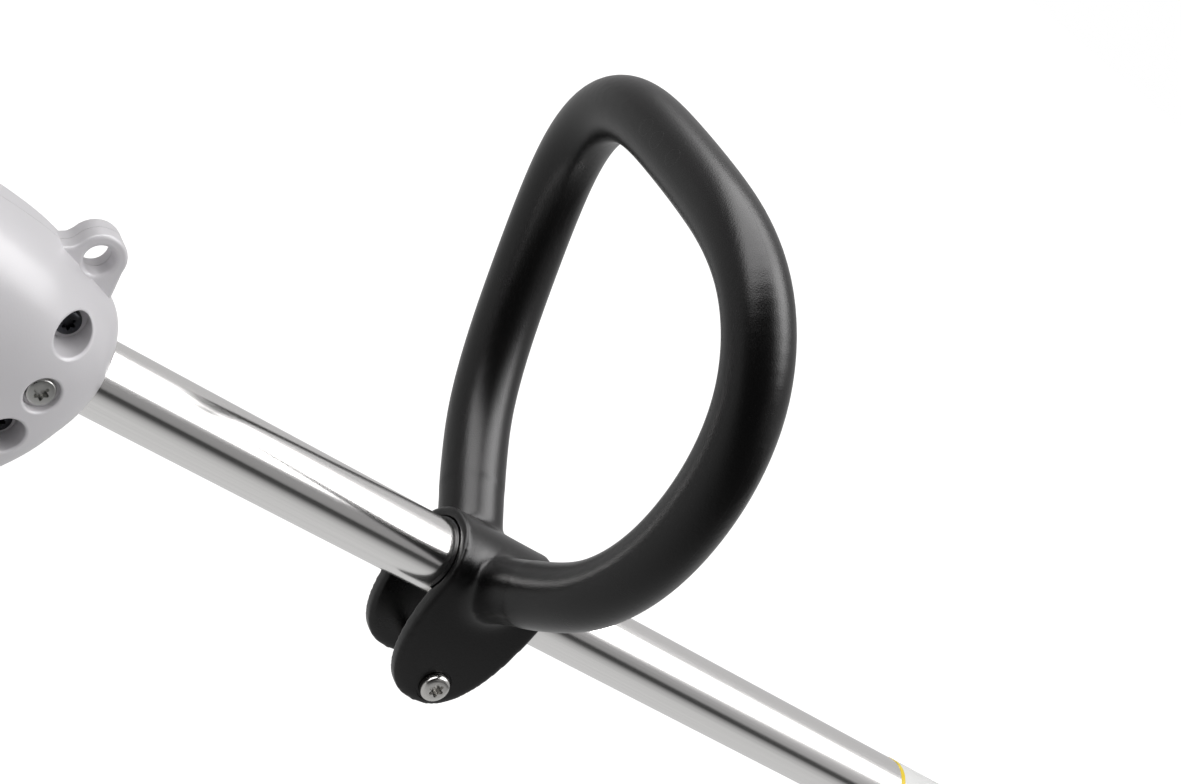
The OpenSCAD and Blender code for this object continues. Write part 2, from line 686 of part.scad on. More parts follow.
module lockout_lever() color("dimgray") at_tube() translate([lever_x, lever_w / 2, lever_z])
    rotate([90, 0, 0])
    linear_extrude(lever_w) difference() {
        union() {
            circle(r = lever_boss_r);
            polygon(concat([[0, -lever_boss_r], [lever_boss_r, 0], [lever_boss_r + 0.5, 6]],
                [for (a = [30 : 15 : 150]) [-17 + 22 * cos(a), 3 + 11 * sin(a)]],
                [[-38, 5.5], [-37, 1], [-20, -2]]));
        }
        circle(r = pin_d / 2 + run_gap);
    }
module lockout_pin() color("silver") at_tube()
    ycyl(lever_x, lever_z, -pin_half_len, 2 * pin_half_len, pin_d);
module lockout_spring() color("silver") at_tube()
    hinge_spring(lever_x, lever_z, lever_w / 2 + spring_side_gap, 8, 100);

// Contacts at the front wall of the battery bay
window_play = 0.3;
blade_ys = [-15, -5, 5, 15];
blade_t = 0.8;
blade_z = [-28, -14];
blade_play = [0.8, 2];
module terminal_block() color("dimgray") at_tube() {
    box([bay_front + window_play, -window_half_w + window_play, bay_roof + window_z[0] + window_play],
        [bay_front + 12, window_half_w - window_play, bay_roof + window_z[1] - window_play]);
    for (y = blade_ys) box([bay_front - 9, y - blade_t / 2, bay_roof + blade_z[0]],
        [bay_front + over, y + blade_t / 2, bay_roof + blade_z[1]]);
}
pack_high = bay_roof - bay_gap;
pack_low = bay_floor + bay_gap;
pack_rings = [
    [pack_front, pack_high - 1.5, pack_low + 1.5, pack_half_w - 1.5, round_power],
    [pack_front - 2, pack_high, pack_low, pack_half_w, round_power],
    [pack_rear + 7, pack_high, pack_low, pack_half_w, round_power],
    [pack_rear + 2, pack_high - 3, pack_low + 3, pack_half_w - 3, 4.4],
    [pack_rear, pack_high - 8, pack_low + 8, pack_half_w - 8, 4]];
cell_pitch_y = cell_d + 0.8;
cell_pitch_z = cell_d + 0.4;
cells_back = 24;
cell_rib_t = 3;
contact_box_half_w = 22;
latch_x = block_rear + 6;
latch_half_w = 11;
latch_low = bay_roof - 8;
latch_pocket_h = 14;
latch_coil_r = 2.6;
latch_coil_h = 5.6;
module battery_case() color("dimgray") at_tube() difference() {
    loft(pack_rings);
    difference() {
        loft(inset([for (i = [1 : 3]) pack_rings[i]], pack_wall));
        // Ribs that hold the cells
        for (x = [pack_front - cells_back + 2, pack_front - cell_len + 6]) difference() {
            box([x, -bay_half_w, bay_floor], [x + cell_rib_t, bay_half_w, bay_roof]);
            cell_places(x - over, cell_rib_t + 2 * over, cell_d + 2 * run_gap);
        }
        box([pack_front - cells_back + 4, -contact_box_half_w, bay_roof + window_z[0] + 1],
            [pack_front + over, contact_box_half_w, bay_roof + window_z[1] - 1]);
    }
    // Slots for the contact blades and the pocket of the latch
    for (y = blade_ys) box([pack_front - cells_back, y - blade_t / 2 - blade_play[0],
        bay_roof + blade_z[0] - blade_play[1]],
        [pack_front + over, y + blade_t / 2 + blade_play[0], bay_roof + blade_z[1] + blade_play[1]]);
    box([pack_rear - over, -latch_half_w - slide_gap, bay_roof - latch_pocket_h],
        [latch_x + 8, latch_half_w + slide_gap, bay_roof + over]);
}
module cell_places(x, len, d) for (j = [-1 : 1]) for (i = [-1.5 : 1 : 1.5])
    translate([x, j * cell_pitch_y, (bay_floor + bay_roof) / 2 + i * cell_pitch_z]) rotate([0, 90, 0])
        cylinder(h = len, d = d);
module battery_cells() color("teal") at_tube()
    cell_places(pack_front - cells_back - cell_len, cell_len, cell_d);
module battery_latch() color("black") at_tube() translate([0, latch_half_w, 0]) rotate([90, 0, 0])
    linear_extrude(latch_half_w * 2) polygon([[latch_x + 7, latch_low + 4], [latch_x + 7, latch_low],
        [pack_rear + 3, latch_low], [pack_rear, latch_low + 5], [pack_rear + 2, latch_low + 11],
        [latch_x - 4, latch_low + 11.5], [latch_x + 2, latch_low + 10], [latch_x + 3, latch_low + 4]]);
module latch_spring() color("silver") at_tube() for (y = [-6, 6])
    translate([latch_x - 2, y, bay_roof - latch_pocket_h + 0.2]) coil(latch_coil_r, 0.5, 3, latch_coil_h);

// Round wire wound in a helix of a given radius, wire radius, number of turns and height
coil_sides = 12;
module coil(r, wire, turns, h) {
    steps = turns * coil_sides;
    skin([for (i = [0 : steps]) let (a = 360 * i / coil_sides, z = wire + (h - 2 * wire) * i / steps)
        [for (b = [0 : 60 : 300]) let (q = r + wire * cos(b)) [q * cos(a), q * sin(a),
            z + wire * sin(b)]]], true);
}

// Loop handle: reach of the loop's centre line at each angle from its top
loop_guides = [[0, 73.7], [18, 75.6], [36, 84.9], [54, 91.1], [75, 84.4], [100, 77.2], [125, 75.4],
    [150, 75.9]];
function guide(i) = loop_guides[min(abs(i), len(loop_guides) - 1)];
function reach_in(i, a) = let (p0 = guide(i - 1), p1 = guide(i), p2 = guide(i + 1), p3 = guide(i + 2),
    a0 = i == 0 ? -p0[0] : p0[0], u = (a - p1[0]) / (p2[0] - p1[0]), w = p2[0] - p1[0],
    m1 = (p2[1] - p0[1]) / (p2[0] - a0) * w,
    m2 = p3[0] == p2[0] ? (p2[1] - p1[1]) : (p3[1] - p1[1]) / (p3[0] - p1[0]) * w)
    (2 * pow(u, 3) - 3 * u * u + 1) * p1[1] + (pow(u, 3) - 2 * u * u + u) * m1
    + (3 * u * u - 2 * pow(u, 3)) * p2[1] + (pow(u, 3) - u * u) * m2;
function reach(a) = reach_in([for (i = [0 :
    len(loop_guides) - 2]) if (a <= loop_guides[i + 1][0] + eps) i][0], a);
loop_top = loop_mid + loop_guides[0][1];
loop_foot_x = 21.1;
function lean(z) = loop_foot_x - loop_lean * pow(z / loop_top, 2);
function loop_point(a) = let (r = reach(abs(a)), z = loop_mid + r * cos(a)) [lean(z), r * sin(a), z];
loop_foot = [loop_foot_x, 12, 1];
loop_path = concat([[loop_foot[0], -loop_foot[1], loop_foot[2]]], [for (a = [-150 : 10 :
    150]) loop_point(a)],
    [loop_foot]);
module loop_bar() {
    last = len(loop_path) - 1;
    skin([for (i = [0 : last]) let (t = loop_path[min(i + 1, last)] - loop_path[max(i - 1, 0)],
        n = cross(t, [1, 0, 0]), e = n / norm(n), f = cross(e, t) / norm(cross(e, t)))
        [for (k = [0 : 17]) let (a = -360 * k / 18) loop_path[i] + loop_r * (cos(a) * e + sin(a) * f)]]);
}
// Side view of the sleeve and its ears: a deep leaf below the axis, a low arch above it
function leaf(half, low, p, a0, a1) = [for (a = [a0 : 9 : a1])
    [half + half * power_of(cos(a), p), low * power_of(sin(a), p)]];
bore_r = tube_r + run_gap + liner_t + run_gap;
sleeve_power = 12;
ear_power = 2.4;
screw_play = 0.5;
nut_d = 11.5;
nut_t = 4;
nut_play = 0.4;
nut_sunk = 3.6;
module clamp_body() intersection() {
    rotate([90, 0, 0]) translate([0, 0, -far]) linear_extrude(2 * far)
        polygon(concat(leaf(sleeve_len / 2, sleeve_r + 0.5, sleeve_power, 0, 180),
            leaf(sleeve_len / 2, ear_depth, ear_power, 189, 351)));
    union() {
        xcyl(-over, sleeve_len + 2 * over, sleeve_r * 2);
        box([-over, -sleeve_r, -ear_depth - over], [sleeve_len + over, sleeve_r, 0]);
    }
}
module loop_handle() color("#262626") at_tube() translate([handle_pos, 0, 0]) difference() {
    union() {
        clamp_body();
        loop_bar();
    }
    xcyl(-over, sleeve_len + 2 * over, bore_r * 2);
    box([-over, ear_t - sleeve_r, -ear_depth - over], [sleeve_len + over, sleeve_r - ear_t, 0]);
    ycyl(clamp_x, -clamp_z, -far / 2, far, clamp_screw_d + screw_play);
    translate([clamp_x, sleeve_r - nut_sunk, -clamp_z]) rotate([-90, 0, 0])
        cylinder(h = sleeve_r, d = nut_d + nut_play, $fn = 6);
}
liner_back = 0.3;
module handle_liner() color("#303030") at_tube() translate([handle_pos, 0, 0]) difference() {
    xcyl(liner_back, sleeve_len - 2 * liner_back, (bore_r - run_gap) * 2);
    xcyl(-over, sleeve_len + 2 * over, (tube_r + run_gap) * 2);
    box([-over, ear_t - sleeve_r, -tube_d], [sleeve_len + over, sleeve_r - ear_t, 0]);
}
clamp_head_h = 2.7;
module clamp_screw() color("silver") at_tube() translate([handle_pos, 0, 0])
    y_screw(clamp_x, -clamp_z, sleeve_r, 2 * sleeve_r, clamp_screw_d, clamp_head_d, clamp_head_h);
module clamp_nut() color("silver") at_tube() translate([handle_pos + clamp_x, sleeve_r - nut_sunk,
    -clamp_z])
    rotate([-90, 0, 0]) difference() {
        cylinder(h = nut_t, d = nut_d, $fn = 6);
        translate([0, 0, -over]) cylinder(h = nut_t + 2 * over, d = clamp_screw_d);
    }

// Gear head
barrel_wall = 3.5;
boss_d = 9;
boss_h = 12;
lip = 2.5;
cover_play = 0.1;
cover_screw_d = 3.1;
cover_head_d = 6;
flange_screw_d = 4.2;
flange_screw_angles = [-60, 60, 180];
socket_seat = 7;
socket_slit = 2;
socket_screw_x = tube_reach + 13;
socket_screw_z = -tube_r - socket_wall - 3.6;
socket_screw_d = 4.8;
module at_cover_screws(z) for (a = cover_screw_angles) rotate([0, 0, a]) translate([barrel_r - 1, 0,
    z]) children();
module at_flange_screws(z) for (a = flange_screw_angles) rotate([0, 0, a]) translate([flange_r - 5, 0,
    z]) children();
module gear_housing() color("#2c2c2c") {
    difference() {
        union() {
            at_tube() {
                xcyl(tube_reach, apex_x - tube_reach - 6, (tube_r + socket_wall) * 2);
                box([tube_reach + 4, -socket_seat, -tube_r - socket_wall - 9],
                    [tube_reach + 22, socket_seat, -tube_r - 1.5]);
            }
            at_head() {
                translate([0, 0, barrel_low]) cylinder(h = upper_low - barrel_low + 3, r = barrel_r);
                translate([0, 0, barrel_low]) cylinder(h = flange_t, r = flange_r);
                at_cover_screws(upper_low - boss_h - over) cylinder(h = boss_h, d = boss_d);
            }
        }
        at_tube() {
            xcyl(tube_reach - over, socket_len + over, tube_d + 2 * run_gap);
            xcyl(tube_front - over, apex_x - tube_front - pinion_h + over, shaft_bearing[0]);
            xcyl(apex_x - pinion_h - pinion_back - eps, pinion_h, 2 * pinion_pitch_r + 7);
            box([tube_reach - over, -socket_slit / 2, -far], [tube_reach + 26, socket_slit / 2, 0]);
            ycyl(socket_screw_x, socket_screw_z, -far / 2, far, socket_screw_d + 4 * run_gap);
        }
        at_head() {
            // Room for the cover above the split
            translate([0, 0, upper_low - over]) cylinder(h = far, r = barrel_r + cover_play);
            translate([0, 0, lower_high]) cylinder(h = far, r = barrel_r - barrel_wall);
            translate([0, 0, lower_low]) cylinder(h = lower_bearing[2] + 4, d = lower_bearing[0]);
            translate([0, 0, barrel_low - over]) cylinder(h = lower_bearing[2],
                d = lower_bearing[0] - 2 * lip);
            at_cover_screws(upper_low - 10) cylinder(h = 20, d = cover_screw_d + 2 * run_gap);
            at_flange_screws(barrel_low - over) cylinder(h = 8, d = flange_screw_d);
        }
    }
}
module gear_cover() color("#2c2c2c") at_head() difference() {
    union() {
        translate([0, 0, upper_low - over]) cylinder(h = cover_top - upper_low + 2 * over, r = barrel_r);
        at_cover_screws(upper_low - over) cylinder(h = 5, d = boss_d);
    }
    translate([0, 0, upper_low - 2 * over]) cylinder(h = upper_bearing[2] + 2 * over, d = upper_bearing[0]);
    at_cover_screws(upper_low - 2 * over) cylinder(h = far, d = cover_screw_d + screw_play);
    at_cover_screws(upper_low + cover_seat) cylinder(h = far, d = cover_head_d + 2 * slide_gap);
}
module z_screw(len, d, head_d, head_h) difference() {
    union() {
        cylinder(h = head_h, d = head_d);
        translate([0, 0, -len]) cylinder(h = len + eps, d = d);
    }
    translate([0, 0, head_h]) socket_cut(head_d * socket_share, socket_depth - 0.2);
}
module cover_screws() color("silver") at_head() at_cover_screws(upper_low + cover_seat)
    z_screw(boss_h + 1, cover_screw_d, cover_head_d, 2.6);
module socket_screw() color("silver") at_tube()
    y_screw(socket_screw_x, socket_screw_z, socket_seat, 2 * socket_seat, socket_screw_d, 8.6, 3.4);

// Straight bevel gear: its teeth shrink towards the apex at the origin
module bevel_teeth(teeth, root, tip, root_half, tip_half, h) {
    s = (h - face_w) / h;
    pitch = 360 / teeth;
    translate([0, 0, h - face_w]) linear_extrude(height = face_w, scale = 1 / s) scale(s)
        polygon([for (i = [0 : teeth - 1]) for (q = [[-root_half, root], [-tip_half, tip], [tip_half,
            tip], [root_half, root]])
            q[1] * [cos(i * pitch + q[0]), sin(i * pitch + q[0])]]);
}
// Tooth heights as shares of the module, and half tooth angles at the root and the tip
add_len = 0.85;
ded_len = 1.2;
pinion_flank = [8.6, 3.4];
gear_flank = [6, 2.4];
module pinion() color("slategray") at_tube() translate([apex_x, 0, 0]) rotate([0, -90, 0]) difference() {
    union() {
        bevel_teeth(pinion_teeth, pinion_pitch_r - ded_len * gear_module,
            pinion_pitch_r + add_len * gear_module, pinion_flank[0], pinion_flank[1], pinion_h);
        translate([0, 0, pinion_h - eps]) cylinder(h = pinion_back, d = shaft_bearing[1] + 4);
        translate([0, 0, pinion_h]) cylinder(h = pinion_back + shaft_bearing[2] + 1.5,
            d = shaft_bearing[1]);
    }
    translate([0, 0, pinion_h + pinion_back]) cylinder(h = far, d = shaft_end_d);
}
module pinion_bearing() color("silver") at_tube() translate([tube_front + bearing_stop, 0, 0])
    rotate([0, 90, 0]) bearing(shaft_bearing);
module driven_gear() color("slategray") at_head() difference() {
    union() {
        rotate([0, 0, 180 + 180 / gear_teeth]) bevel_teeth(gear_teeth,
            gear_pitch_r - ded_len * gear_module,
            gear_pitch_r + add_len * gear_module, gear_flank[0], gear_flank[1], gear_h);
        translate([0, 0, gear_h - eps]) cylinder(h = gear_back, r = gear_pitch_r - gear_back);
    }
    translate([0, 0, -over]) cylinder(h = far, d = spindle_d);
}
module spindle() color("silver") at_head() union() {
    translate([0, 0, cup_top - cup_roof]) cylinder(h = gear_h + gear_back - cup_top + cup_roof,
        d = spindle_d);
    translate([0, 0, gear_h + gear_back - eps]) cylinder(h = upper_bearing[2] + 0.3, d = upper_bearing[1]);
}
module spindle_bearings() color("silver") at_head() {
    translate([0, 0, lower_low]) bearing(lower_bearing);
    translate([0, 0, upper_low]) bearing(upper_bearing);
}
module thrust_washer() color("silver") at_head() difference() {
    union() {
        translate([0, 0, washer_top - washer_t]) cylinder(h = washer_t, r = washer_r);
        translate([0, 0, washer_top]) cylinder(h = washer_hub[1], r = washer_hub[0]);
    }
    translate([0, 0, washer_top - washer_t - over]) cylinder(h = far, d = spindle_d);
}

// Deflector: a flat sector with a skirt round its edge and a straight rear side
module guard_outline() intersection() {
    circle(r = guard_r, $fn = 2 * $fn);
    polygon([[0, 0], for (a = [-1, 1]) 5 * guard_r * [-cos(guard_half_angle), a * sin(guard_half_angle)]]);
    translate([-guard_chord, -guard_r]) square(2 * guard_r);
}
guard_rib_angles = [-35, 35];
guard_rib_back = 14;
guard_rib = [3, 5];
module deflector() color("#2c2c2c") at_head() difference() {
    union() {
        difference() {
            translate([0, 0, skirt_low]) linear_extrude(skirt_h + guard_t) guard_outline();
            translate([0, 0, skirt_low - over]) linear_extrude(skirt_h + over) intersection() {
                circle(r = guard_r - guard_t, $fn = 2 * $fn);
                translate([-guard_chord + guard_t, -guard_r]) square(2 * guard_r);
            }
        }
        translate([0, 0, guard_top - guard_t]) cylinder(h = guard_t, r = flange_r);
        for (a = guard_rib_angles) rotate([0, 0, a])
            translate([-guard_r + guard_rib_back, -guard_rib[0] / 2, guard_top - over])
                cube([guard_r - guard_rib_back - flange_r - over, guard_rib[0], guard_rib[1]]);
    }
    translate([0, 0, guard_top - guard_t - over]) cylinder(h = guard_t + 2 * over,
        d = lower_bearing[0] - 2 * lip);
    at_flange_screws(guard_top - 10) cylinder(h = 20, d = flange_screw_d + 4 * run_gap);
    cutter_holes();
}
module deflector_screws() color("silver") at_head() at_flange_screws(guard_top - guard_t)
    mirror([0, 0, 1]) z_screw(guard_t + 3.5, flange_screw_d, 7.5, 2);

// Blade that trims the line, bolted to the inside of the skirt
blade_angle = guard_half_angle - 12;
module at_blade() rotate([0, 0, 180 - blade_angle]) translate([guard_r - guard_t, 0, skirt_low]) children();
blade_x = [-2.2, -0.9];
blade_half_w = 12;
blade_high = [4, 20];
blade_lip = [8.5, 1.3];
cutter_screw_d = 4;
module cutter_holes() at_blade() at_cutter_screws(-10) cylinder(h = 30, d = cutter_screw_d + 4 * run_gap);
module at_cutter_screws(x) for (y = [-7, 7]) translate([x, y, 12]) rotate([0, 90, 0]) children();
module line_cutter() color("silver") at_head() at_blade() difference() {
    union() {
        box([blade_x[0], -blade_half_w, blade_high[0]], [blade_x[1], blade_half_w, blade_high[1]]);
        box([-blade_lip[0], blade_half_w - blade_lip[1], blade_high[0]], [blade_x[1], blade_half_w,
            blade_high[1]]);
    }
    at_cutter_screws(-10) cylinder(h = 30, d = cutter_screw_d + 4 * run_gap);
}
module cutter_screws() color("silver") at_head() at_blade() at_cutter_screws(blade_x[0])
    mirror([0, 0, 1]) z_screw(5.4, cutter_screw_d, 7, 2);

// Cutting head
notch = [12, 6, 1.5];
eyelet_rim = [1, 1.2];
winding_sunk = 4;
knob_edge = 5;
knob_taper = 6;
knob_flute_r = 3;
feed_wire = 0.8;
line_start = spool_r + 0.6;
module head_cup() color("#1e1e1e") at_head() difference() {
    union() {
        difference() {
            translate([0, 0, cup_low]) cylinder(h = cup_h, r = head_r);
            translate([0, 0, cup_low - over]) cylinder(h = cup_h - cup_roof + over, r = head_r - cup_wall);
        }
        translate([0, 0, cup_low - cover_t]) cylinder(h = cup_h + cover_t - over, r = post_r);
    }
    translate([0, 0, cup_top - cup_roof]) cylinder(h = 2 * cup_roof, d = spindle_d);
    for (m = [0, 1]) mirror([0, m, 0]) translate([0, head_r - 2 * cup_wall, eyelet_z]) rotate([-90, 0, 0])
        cylinder(h = 3 * cup_wall, r = eyelet_r);
    for (a = [0 : 45 : 315]) rotate([0, 0, a + 22.5])
        translate([head_r - notch[0], -notch[1] / 2, cup_top - notch[2]]) cube([2 * notch[0], notch[1],
            2 * notch[2]]);
}
module head_cover() color("#1e1e1e") at_head() difference() {
    translate([0, 0, cup_low - cover_t]) cylinder(h = cover_t, r = head_r);
    translate([0, 0, cup_low - cover_t - over]) cylinder(h = cover_t + 2 * over, r = knob_r + slide_gap);
}
module line_eyelets() color("silver") at_head() for (m = [0, 1]) mirror([0, m, 0])
    translate([0, head_r - cup_wall, eyelet_z]) rotate([-90, 0, 0]) difference() {
        union() {
            cylinder(h = cup_wall, r = eyelet_r);
            translate([0, 0, cup_wall]) cylinder(h = eyelet_rim[1], r = eyelet_r + eyelet_rim[0]);
        }
        translate([0, 0, -over]) cylinder(h = 3 * cup_wall, d = line_d + 0.8);
    }
module line_ends() color("orange") at_head() for (m = [0, 1]) mirror([0, m, 0])
    translate([0, line_start, eyelet_z]) rotate([-90, 0, 0]) cylinder(h = line_reach - line_start,
        d = line_d);
sleeve_out_r = post_r + run_gap + sleeve_wall;
module spool() color("dimgray") at_head() difference() {
    union() {
        translate([0, 0, spool_low]) cylinder(h = spool_top - spool_low, r = spool_core_r);
        for (z = [spool_low, spool_top - flange_thick]) translate([0, 0, z]) cylinder(h = flange_thick,
            r = spool_r);
    }
    translate([0, 0, spool_low - over]) cylinder(h = far, r = sleeve_out_r + run_gap);
}
module line_winding() color("orange") at_head()
    zring(spool_low + flange_thick, spool_top - spool_low - 2 * flange_thick, 2 * (spool_r - winding_sunk),
        2 * spool_core_r);
module bump_knob() color("#1e1e1e") at_head() difference() {
    union() {
        translate([0, 0, knob_low + knob_edge]) cylinder(h = spool_low - knob_low - knob_edge - 0.3,
            r = knob_r);
        translate([0, 0, knob_low]) cylinder(h = knob_edge + eps, r1 = knob_r - knob_taper, r2 = knob_r);
        translate([0, 0, knob_low + knob_edge]) cylinder(h = spool_top - knob_low - knob_edge,
            r = sleeve_out_r);
    }
    translate([0, 0, cup_low - cover_t - knob_travel - cup_wall]) cylinder(h = 2 * far,
        r = post_r + run_gap);
    for (a = [0 : 45 : 315]) rotate([0, 0, a]) translate([knob_r, 0, knob_low - over])
        cylinder(h = 14, r = knob_flute_r);
}
module feed_spring() color("silver") at_head() translate([0, 0, spool_top + 0.2])
    coil(spool_core_r - 3, feed_wire, 2.5, cup_top - cup_roof - spool_top - 0.4);

housing_left();
housing_right();
battery_dock();
hand_guard();
shell_screws();
tube_screw();
base_skids();
drive_tube();
tube_label();
shaft_bushes();
drive_shaft();
shaft_coupling();
motor_fan();
motor_rotor();
motor_stator();
motor_end_caps();
motor_bearings();
control_board();
trigger();
trigger_pin();
trigger_spring();
trigger_switch();
lockout_lever();
lockout_pin();
lockout_spring();
terminal_block();
battery_case();
battery_cells();
battery_latch();
latch_spring();
loop_handle();
handle_liner();
clamp_screw();
clamp_nut();
gear_housing();
gear_cover();
cover_screws();
socket_screw();
pinion();
pinion_bearing();
driven_gear();
spindle();
spindle_bearings();
thrust_washer();
deflector();
deflector_screws();
line_cutter();
cutter_screws();
head_cup();
head_cover();
line_eyelets();
line_ends();
spool();
line_winding();
bump_knob();
feed_spring();
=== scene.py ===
import math
import bpy
import bmesh
from mathutils import Matrix, Vector


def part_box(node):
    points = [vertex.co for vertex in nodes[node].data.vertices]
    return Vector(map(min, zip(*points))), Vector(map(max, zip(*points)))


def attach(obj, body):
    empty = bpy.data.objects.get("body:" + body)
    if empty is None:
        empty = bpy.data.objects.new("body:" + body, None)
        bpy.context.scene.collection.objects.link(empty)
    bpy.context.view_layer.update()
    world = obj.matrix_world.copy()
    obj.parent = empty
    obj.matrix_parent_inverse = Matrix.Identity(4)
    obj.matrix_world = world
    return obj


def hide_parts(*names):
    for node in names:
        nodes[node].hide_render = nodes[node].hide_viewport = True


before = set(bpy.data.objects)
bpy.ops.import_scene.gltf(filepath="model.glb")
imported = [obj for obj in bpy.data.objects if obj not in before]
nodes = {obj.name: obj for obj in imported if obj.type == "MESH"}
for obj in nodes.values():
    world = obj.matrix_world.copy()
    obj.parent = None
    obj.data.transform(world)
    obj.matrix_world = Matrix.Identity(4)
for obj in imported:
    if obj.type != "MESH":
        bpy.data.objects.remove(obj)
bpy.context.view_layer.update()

# Housing shells. Two halves of light grey moulded plastic that meet along the middle of the machine,
# with the hanging eye on top of the nose, sunk screw bores and cooling slots in the sides.
mm = 0.001
parting_gap = 0.1
merge_gap = 1e-6
tube_low, tube_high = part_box("drive_tube")
tube_held = 56 * mm
nose_x = tube_low[0] + tube_held
axis_z = (tube_low[2] + tube_high[2]) / 2
tube_r = (tube_high[2] - tube_low[2]) / 2


def on_tube(x, y, z):
    """A point given in millimetres ahead of the nose, across, and above the tube's axis."""
    return Vector((nose_x + x * mm, y * mm, axis_z + z * mm))


def as_object(bm, name="passing"):
    """An object that holds a bmesh; the bmesh is freed."""
    mesh = bpy.data.meshes.new(name)
    bm.to_mesh(mesh)
    bm.free()
    thing = bpy.data.objects.new(name, mesh)
    bpy.context.scene.collection.objects.link(thing)
    return thing


def put(bm, name, body, material, stands_for, sharp=35):
    """Makes a shaded object of a bmesh, hands it to its body and hides the nodes it stands for."""
    bmesh.ops.remove_doubles(bm, verts=bm.verts, dist=merge_gap)
    thing = as_object(bm, name)
    for face in thing.data.polygons:
        face.use_smooth = True
    thing.data.set_sharp_from_angle(angle=math.radians(sharp))
    thing.modifiers.new("even_shading", "WEIGHTED_NORMAL").keep_sharp = True
    thing.data.materials.append(material)
    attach(thing, body)
    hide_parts(*stands_for)


def smooth_rows(rows, steps):
    """More rows of numbers between the given ones, on a smooth curve through them."""
    out = []
    for i in range(len(rows) - 1):
        p = [rows[max(i - 1, 0)], rows[i], rows[i + 1], rows[min(i + 2, len(rows) - 1)]]
        gap = [math.dist(p[k][:3], p[k + 1][:3]) or 1e-6 for k in range(3)]
        for s in range(steps):
            t = s / steps
            row = []
            for a, b, c, d in zip(*p):
                m1 = (c - b) if p[0] is p[1] else (c - a) / (gap[0] + gap[1]) * gap[1]
                m2 = (c - b) if p[3] is p[2] else (d - b) / (gap[1] + gap[2]) * gap[1]
                row.append((2 * t**3 - 3 * t**2 + 1) * b + (t**3 - 2 * t**2 + t) * m1
                           + (3 * t**2 - 2 * t**3) * c + (t**3 - t**2) * m2)
            out.append(row)
    out.append(list(rows[-1]))
    return out


def bent(share, power):
    """A sine or cosine squared off to a superellipse's power."""
    return math.copysign(abs(share) ** (2 / power), share)


def section_point(row, turn):
    """A point on a superellipse section: row = x, top, bottom, half width, power."""
    x, top, bottom, half, power = row
    rise = (top + bottom) / 2 + (top - bottom) / 2 * bent(math.sin(turn), power)
    return on_tube(x, half * bent(math.cos(turn), power), rise)


def closed(bm):
    """Joins doubles and turns every face outwards."""
    bmesh.ops.remove_doubles(bm, verts=bm.verts, dist=merge_gap)
    bmesh.ops.recalc_face_normals(bm, faces=bm.faces)
    return bm


def wrapped(count, around, point_at):
    """A closed form from a grid wrapped round; point_at gives the place for a row's number and a turn."""
    bm = bmesh.new()
    bmesh.ops.create_grid(bm, x_segments=count - 1, y_segments=around, size=1)
    for v in bm.verts:
        v.co = point_at(round((v.co.x + 1) / 2 * (count - 1)), (v.co.y + 1) * math.pi)
    bmesh.ops.remove_doubles(bm, verts=bm.verts, dist=merge_gap)
    bmesh.ops.holes_fill(bm, edges=[e for e in bm.edges if e.is_boundary], sides=0)
    return closed(bm)


def body_of_rows(rows, around):
    """A closed form through the rows."""
    return wrapped(len(rows), around, lambda i, turn: section_point(rows[i], turn))


def cylinder_along(bm, start, end, radius, around=48, radius_end=None):
    """Adds a closed round bar between two points."""
    axis = end - start
    turn = axis.to_track_quat("Z", "Y").to_matrix().to_4x4()
    bmesh.ops.create_cone(bm, cap_ends=True, segments=around, radius1=radius,
                          radius2=radius if radius_end is None else radius_end, depth=axis.length,
                          matrix=Matrix.Translation((start + end) / 2) @ turn)


def block(bm, low, high):
    """Adds a block between two corners."""
    size = high - low
    bmesh.ops.create_cube(bm, size=1, matrix=Matrix.Translation((low + high) / 2)
                          @ Matrix.Diagonal((abs(size.x), abs(size.y), abs(size.z), 1)))


def turned(bm, profile, start, along, around=48):
    """Adds a form turned on a lathe: profile = radius and distance along the axis, in millimetres."""
    before = set(bm.verts)
    points = [bmesh.ops.create_vert(bm, co=(r * mm, 0, d * mm))["vert"][0] for r, d in profile]
    edges = [bm.edges.new((a, b)) for a, b in zip(points, points[1:])]
    bmesh.ops.spin(bm, geom=points + edges, axis=(0, 0, 1), cent=(0, 0, 0), steps=around,
                   angle=2 * math.pi, use_merge=True, use_duplicate=False)
    turn = Vector(along).to_track_quat("Z", "Y").to_matrix().to_4x4()
    bmesh.ops.transform(bm, matrix=Matrix.Translation(start) @ turn,
                        verts=[v for v in bm.verts if v not in before])


def baked(thing, helpers=()):
    """The bmesh of an object with its modifiers applied; the object and its helpers are removed."""
    bpy.context.view_layer.update()
    result = bpy.data.meshes.new_from_object(thing.evaluated_get(bpy.context.evaluated_depsgraph_get()))
    out = bmesh.new()
    out.from_mesh(result)
    for mesh in [result] + [passing.data for passing in (thing, *helpers)]:
        bpy.data.meshes.remove(mesh)
    return out


def joined(base, steps):
    """base with each bmesh of the steps added (UNION) or taken away (DIFFERENCE), as a new bmesh."""
    body = as_object(base)
    tools = [as_object(bm) for _, bm in steps]
    for (operation, _), tool in zip(steps, tools):
        change = body.modifiers.new("change", "BOOLEAN")
        change.operation = operation
        change.solver = "EXACT"
        change.object = tool
    return baked(body, tools)


def cut(base, *tools):
    """base with each tool taken away."""
    return joined(base, [("DIFFERENCE", tool) for tool in tools])


def drawn_out(points, along):
    """The flat outline through the points, extruded along a vector, and the points of its far end."""
    bm = bmesh.new()
    corners = [bmesh.ops.create_vert(bm, co=p)["vert"][0] for p in points]
    face = bmesh.ops.contextual_create(bm, geom=corners)["faces"][0]
    swept = bmesh.ops.extrude_face_region(bm, geom=[face])["geom"]
    moved = [g for g in swept if isinstance(g, bmesh.types.BMVert)]
    bmesh.ops.translate(bm, verts=moved, vec=along)
    return bm, moved


